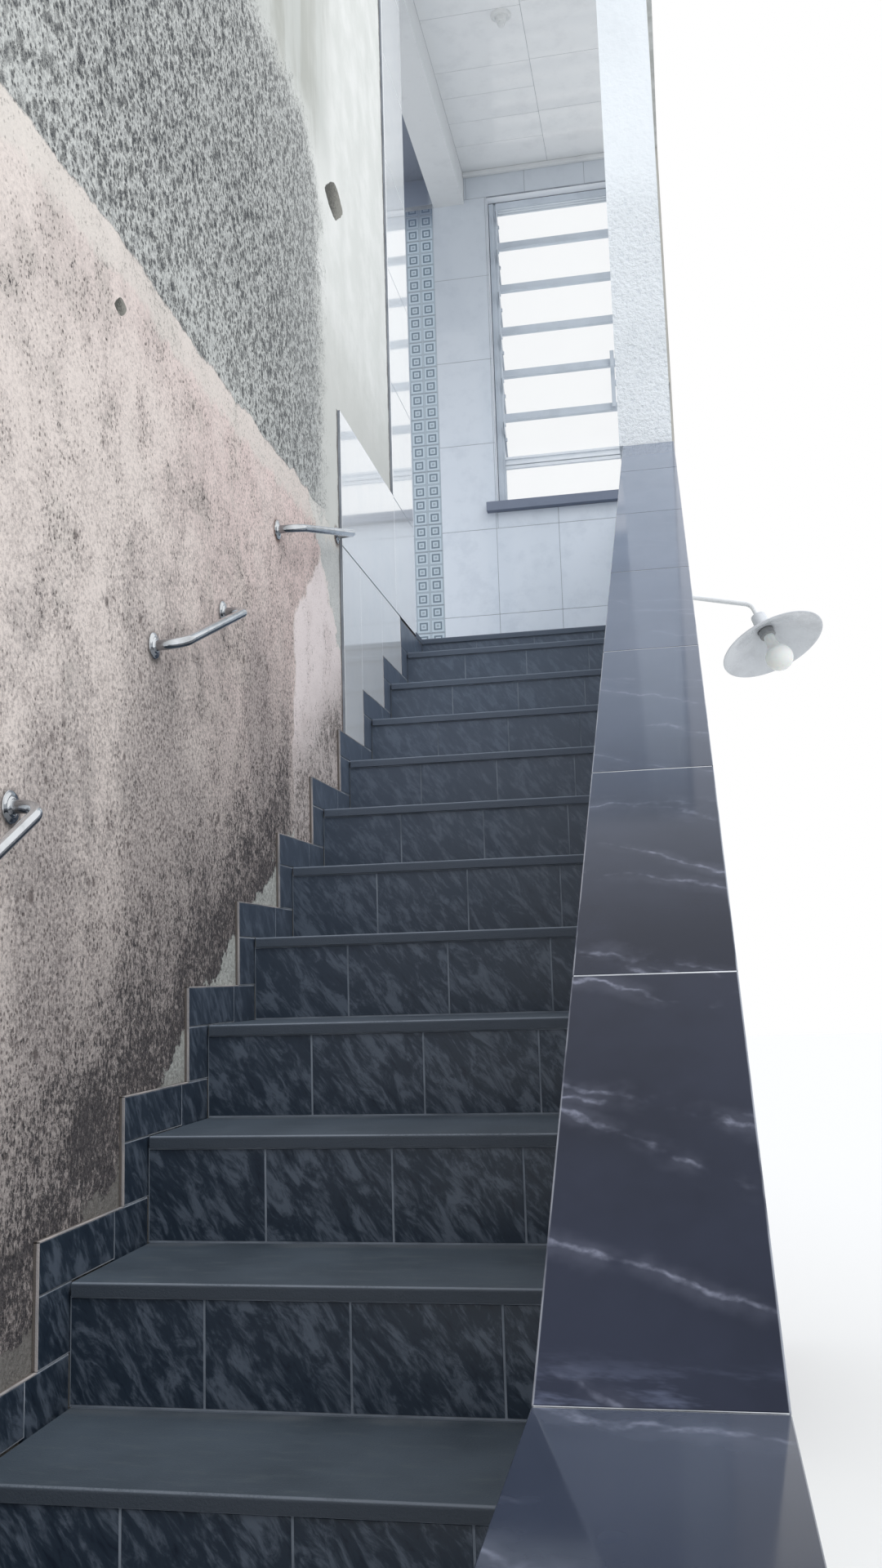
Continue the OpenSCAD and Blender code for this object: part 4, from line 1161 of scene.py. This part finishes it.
# %% Make the grab bars
BAR_R, BAR_OUT, BEND = 10, 55, 44
FLANGE = (
    (FLANGE_R, 0), (FLANGE_R, 1.6), (23.6, 2.5), (20.5, 3.1), (18.6, 4), (15.6, 4.4), (13.6, 6), (12.4, 6.6),
    (11.2, 6.4), (10.1, 7),
)
SQUARE_BEND = (BEND, math.pi / 2)
for name in BARS:
    (ya, za), (yb, zb) = bar_ends(name)
    length, lean = math.hypot(yb - ya, zb - za), math.atan2(zb - za, yb - ya)
    base = Matrix.Translation(at(FACE, ya, za)) @ Matrix.Rotation(lean, 4, "X")
    bm = bmesh.new()
    # Local axes of the tube: out of the wall, with its first bend towards the other end
    out = base @ Matrix(((0, 0, 1, 0), (1, 0, 0, 0), (0, 1, 0, 0), (0, 0, 0, 1)))
    leg = BAR_OUT - BEND
    tube(bm, BAR_R, (leg, SQUARE_BEND, length - 2 * BEND, SQUARE_BEND, leg), out)
    for along in (0, length):
        end = base @ Matrix.Translation((0, along * MM, 0)) @ Matrix.Rotation(math.pi / 2, 4, "Y")
        lathe(bm, FLANGE, end)
    smooth(piece("polished_bar_" + name, bm, polished, "stainless", "grab_bar_" + name))

# %% [markdown]
# ## The outdoor lamp
# A thin white arm leaves the outer face of the parapet and bends down into a small
# holder. Under it hang a shallow enamelled shade, thin as a plate, and an opal bulb.
# The shade's side view goes down its outside, round the rolled rim and up the inside.


# %% Enamel, opal glass and porcelain
def enamel_finish():
    f = Finish("white_enamel")
    stain = f.noise(f.place, 18.0, 4.0, 0.6)
    colour = f.mix(stain.step(0.4, 0.75), (208, 212, 217), (190, 193, 198))
    return f.surface(Base_Color=colour, Roughness=0.2 + 0.15 * stain, Coat_Weight=0.2)


def opal_finish():
    f = Finish("opal_bulb_glass")
    colour = f.mix(f.noise(f.place, 30.0, 2.0), (240, 243, 241), (232, 236, 234))
    return f.surface(Base_Color=colour, Roughness=0.25, Subsurface_Weight=0.15)


enamel, opal = enamel_finish(), opal_finish()
arm_paint = paint_finish("white_arm_paint", (236, 238, 240), (214, 217, 221), 0.35)
holder = paint_finish("grey_lamp_holder", (150, 152, 154), (118, 120, 124), 0.45)

# %% Make the lamp
PLATE_R, ARM_R, ARM_LENGTH, ARM_BEND, ARM_TURN, ARM_END = 22, 6.5, 129, 25, math.radians(60), 20
# The arm falls a little towards its end, and was left twisted on its plate
ARM_FALL, ARM_TWIST = math.radians(12), math.radians(-20)
(_, arm_y0, _), (_, arm_y1, arm_top) = inner("lamp_arm")
on_wall = Matrix.Translation(at(OUTER, (arm_y0 + arm_y1) / 2, arm_top - PLATE_R))
falling = on_wall @ Matrix.Rotation(ARM_FALL, 4, "Y") @ Matrix.Rotation(ARM_TWIST, 4, "X")
quarter = Matrix.Rotation(math.pi / 2, 4, "Y")
PLATE = ((0, 0), (PLATE_R, 0), (PLATE_R, 2.2), (20.5, 4), (12, 5), (9.5, 7), (6.6, 8))
bm = bmesh.new()
lathe(bm, PLATE, on_wall @ quarter, 40)
start = falling @ quarter @ Matrix.Translation((0, 0, 2 * MM))
tube(bm, ARM_R, (ARM_LENGTH - 2, (ARM_BEND, ARM_TURN), ARM_END), start)
smooth(piece("lamp_arm_tube", bm, arm_paint, "lamp_enamel", "lamp_arm"))
bend_end = Vector((ARM_LENGTH + ARM_BEND * math.sin(ARM_TURN), 0, ARM_BEND * (math.cos(ARM_TURN) - 1)))
hang = falling @ Matrix.Translation(bend_end * MM) @ Matrix.Rotation(ARM_TURN - math.pi / 2, 4, "Y")
hang = hang @ Matrix.Translation((0, 0, -ARM_END * MM))
SHADE = (
    (6.6, 0), (14, 0), (16.4, -1.2), (17, -3.5), (18.8, -40.5), (21, -43.4), (50, -56.6), (80, -70.3),
    (108, -83), (113, -85.2), (117, -85.1), (118.9, -86.3), (118.6, -87.6), (116.5, -88), (112, -87.6),
    (80, -72.9), (50, -59.2), (21, -46), (16.5, -43.5), (15, -41), (15, -30),
)
smooth(turned("lamp_shade_enamel", SHADE, hang, 72, enamel, "lamp_enamel", "lamp_shade"))
HOLDER = (
    (0, -4), (14.6, -4), (14.6, -44), (17.5, -46), (18, -49), (18, -60), (16.5, -62), (13.4, -62),
    (13.4, -50),
)
smooth(turned("lamp_holder", HOLDER, hang, 40, holder, "lamp_enamel"))
BULB_R, BULB_Z = 31, -122
NECK = [(0, -44), (12.8, -44), (13, -84), (15, -90), (20, -98.5), (24.8, -104.5)]
ball = [
    (BULB_R * math.sin(a), BULB_Z + BULB_R * math.cos(a)) for a in map(math.radians, range(62, 170, 8))
]
bulb = NECK + ball + [(0, BULB_Z - BULB_R)]
smooth(turned("opal_bulb", bulb, hang, 48, opal, "bulb", "lamp_bulb"), 60)

# %% The holder on the ceiling
plastic = paint_finish("white_light_fitting", (226, 228, 228), (205, 207, 208), 0.35)
ROSE = (
    (0, 0), (45, 0), (45, 5), (43.5, 9), (38, 15), (34, 18), (26, 18), (25, 20), (24.5, 26), (20.5, 39),
    (19, 40), (17, 40), (16, 41), (15.5, 52), (14, 54), (13, 58), (6, 60), (0, 60),
)
downwards = Matrix.Translation(at(LIGHT_X, LIGHT_Y, CEILING)) @ Matrix.Rotation(math.pi, 4, "X")
smooth(turned("ceiling_lamp_holder", ROSE, downwards, 48, plastic, "light_plastic", "ceiling_light"))

# %% [markdown]
# ## Light, floor and background
# An even pale sky lights the stair, with a wide soft lamp from above. Rays from the
# camera, from polished faces and through glass see plain white instead.

# %% Light, floor and background
world = bpy.data.worlds.new("soft sky")
bpy.context.scene.world = world
world.use_nodes = True
sky = world.node_tree.nodes["Background"]
sky.inputs["Color"].default_value = (0.93, 0.96, 1.0, 1)
sky.inputs["Strength"].default_value = 0.8
web = Web(world.node_tree)
white = web.add("ShaderNodeBackground", {}, {"Color": (1, 1, 1, 1), "Strength": 1.0})
camera_ray, glossy_ray, through_ray = (
    web.add("ShaderNodeLightPath", {}, {}, f"Is {kind} Ray") for kind in ("Camera", "Glossy", "Transmission")
)
seen = camera_ray.top(glossy_ray.top(through_ray))
blend = web.add("ShaderNodeMixShader", {}, {0: seen, 1: Wire(web, sky.outputs[0]), 2: white})
web.tree.links.new(blend.out, world.node_tree.nodes["World Output"].inputs[0])

sun = bpy.data.objects.new("sun", bpy.data.lights.new("sun", "SUN"))
bpy.context.scene.collection.objects.link(sun)
sun.data.energy = 2.2
sun.data.angle = math.radians(75)
sun.visible_glossy = False
sun.rotation_euler = Vector((-0.42, 0.34, -1.0)).to_track_quat("-Z", "Y").to_euler()

bm = bmesh.new()
bmesh.ops.create_grid(bm, x_segments=1, y_segments=1, size=30)
mesh = bpy.data.meshes.new("floor")
bm.to_mesh(mesh)
bm.free()
floor = bpy.data.objects.new("floor", mesh)
bpy.context.scene.collection.objects.link(floor)
pale = bpy.data.materials.new("pale_floor")
pale.use_nodes = True
shader = pale.node_tree.nodes["Principled BSDF"]
shader.inputs["Base Color"].default_value = (0.72, 0.72, 0.72, 1)
shader.inputs["Roughness"].default_value = 0.9
mesh.materials.append(pale)
bpy.context.scene.view_settings.view_transform = "Standard"
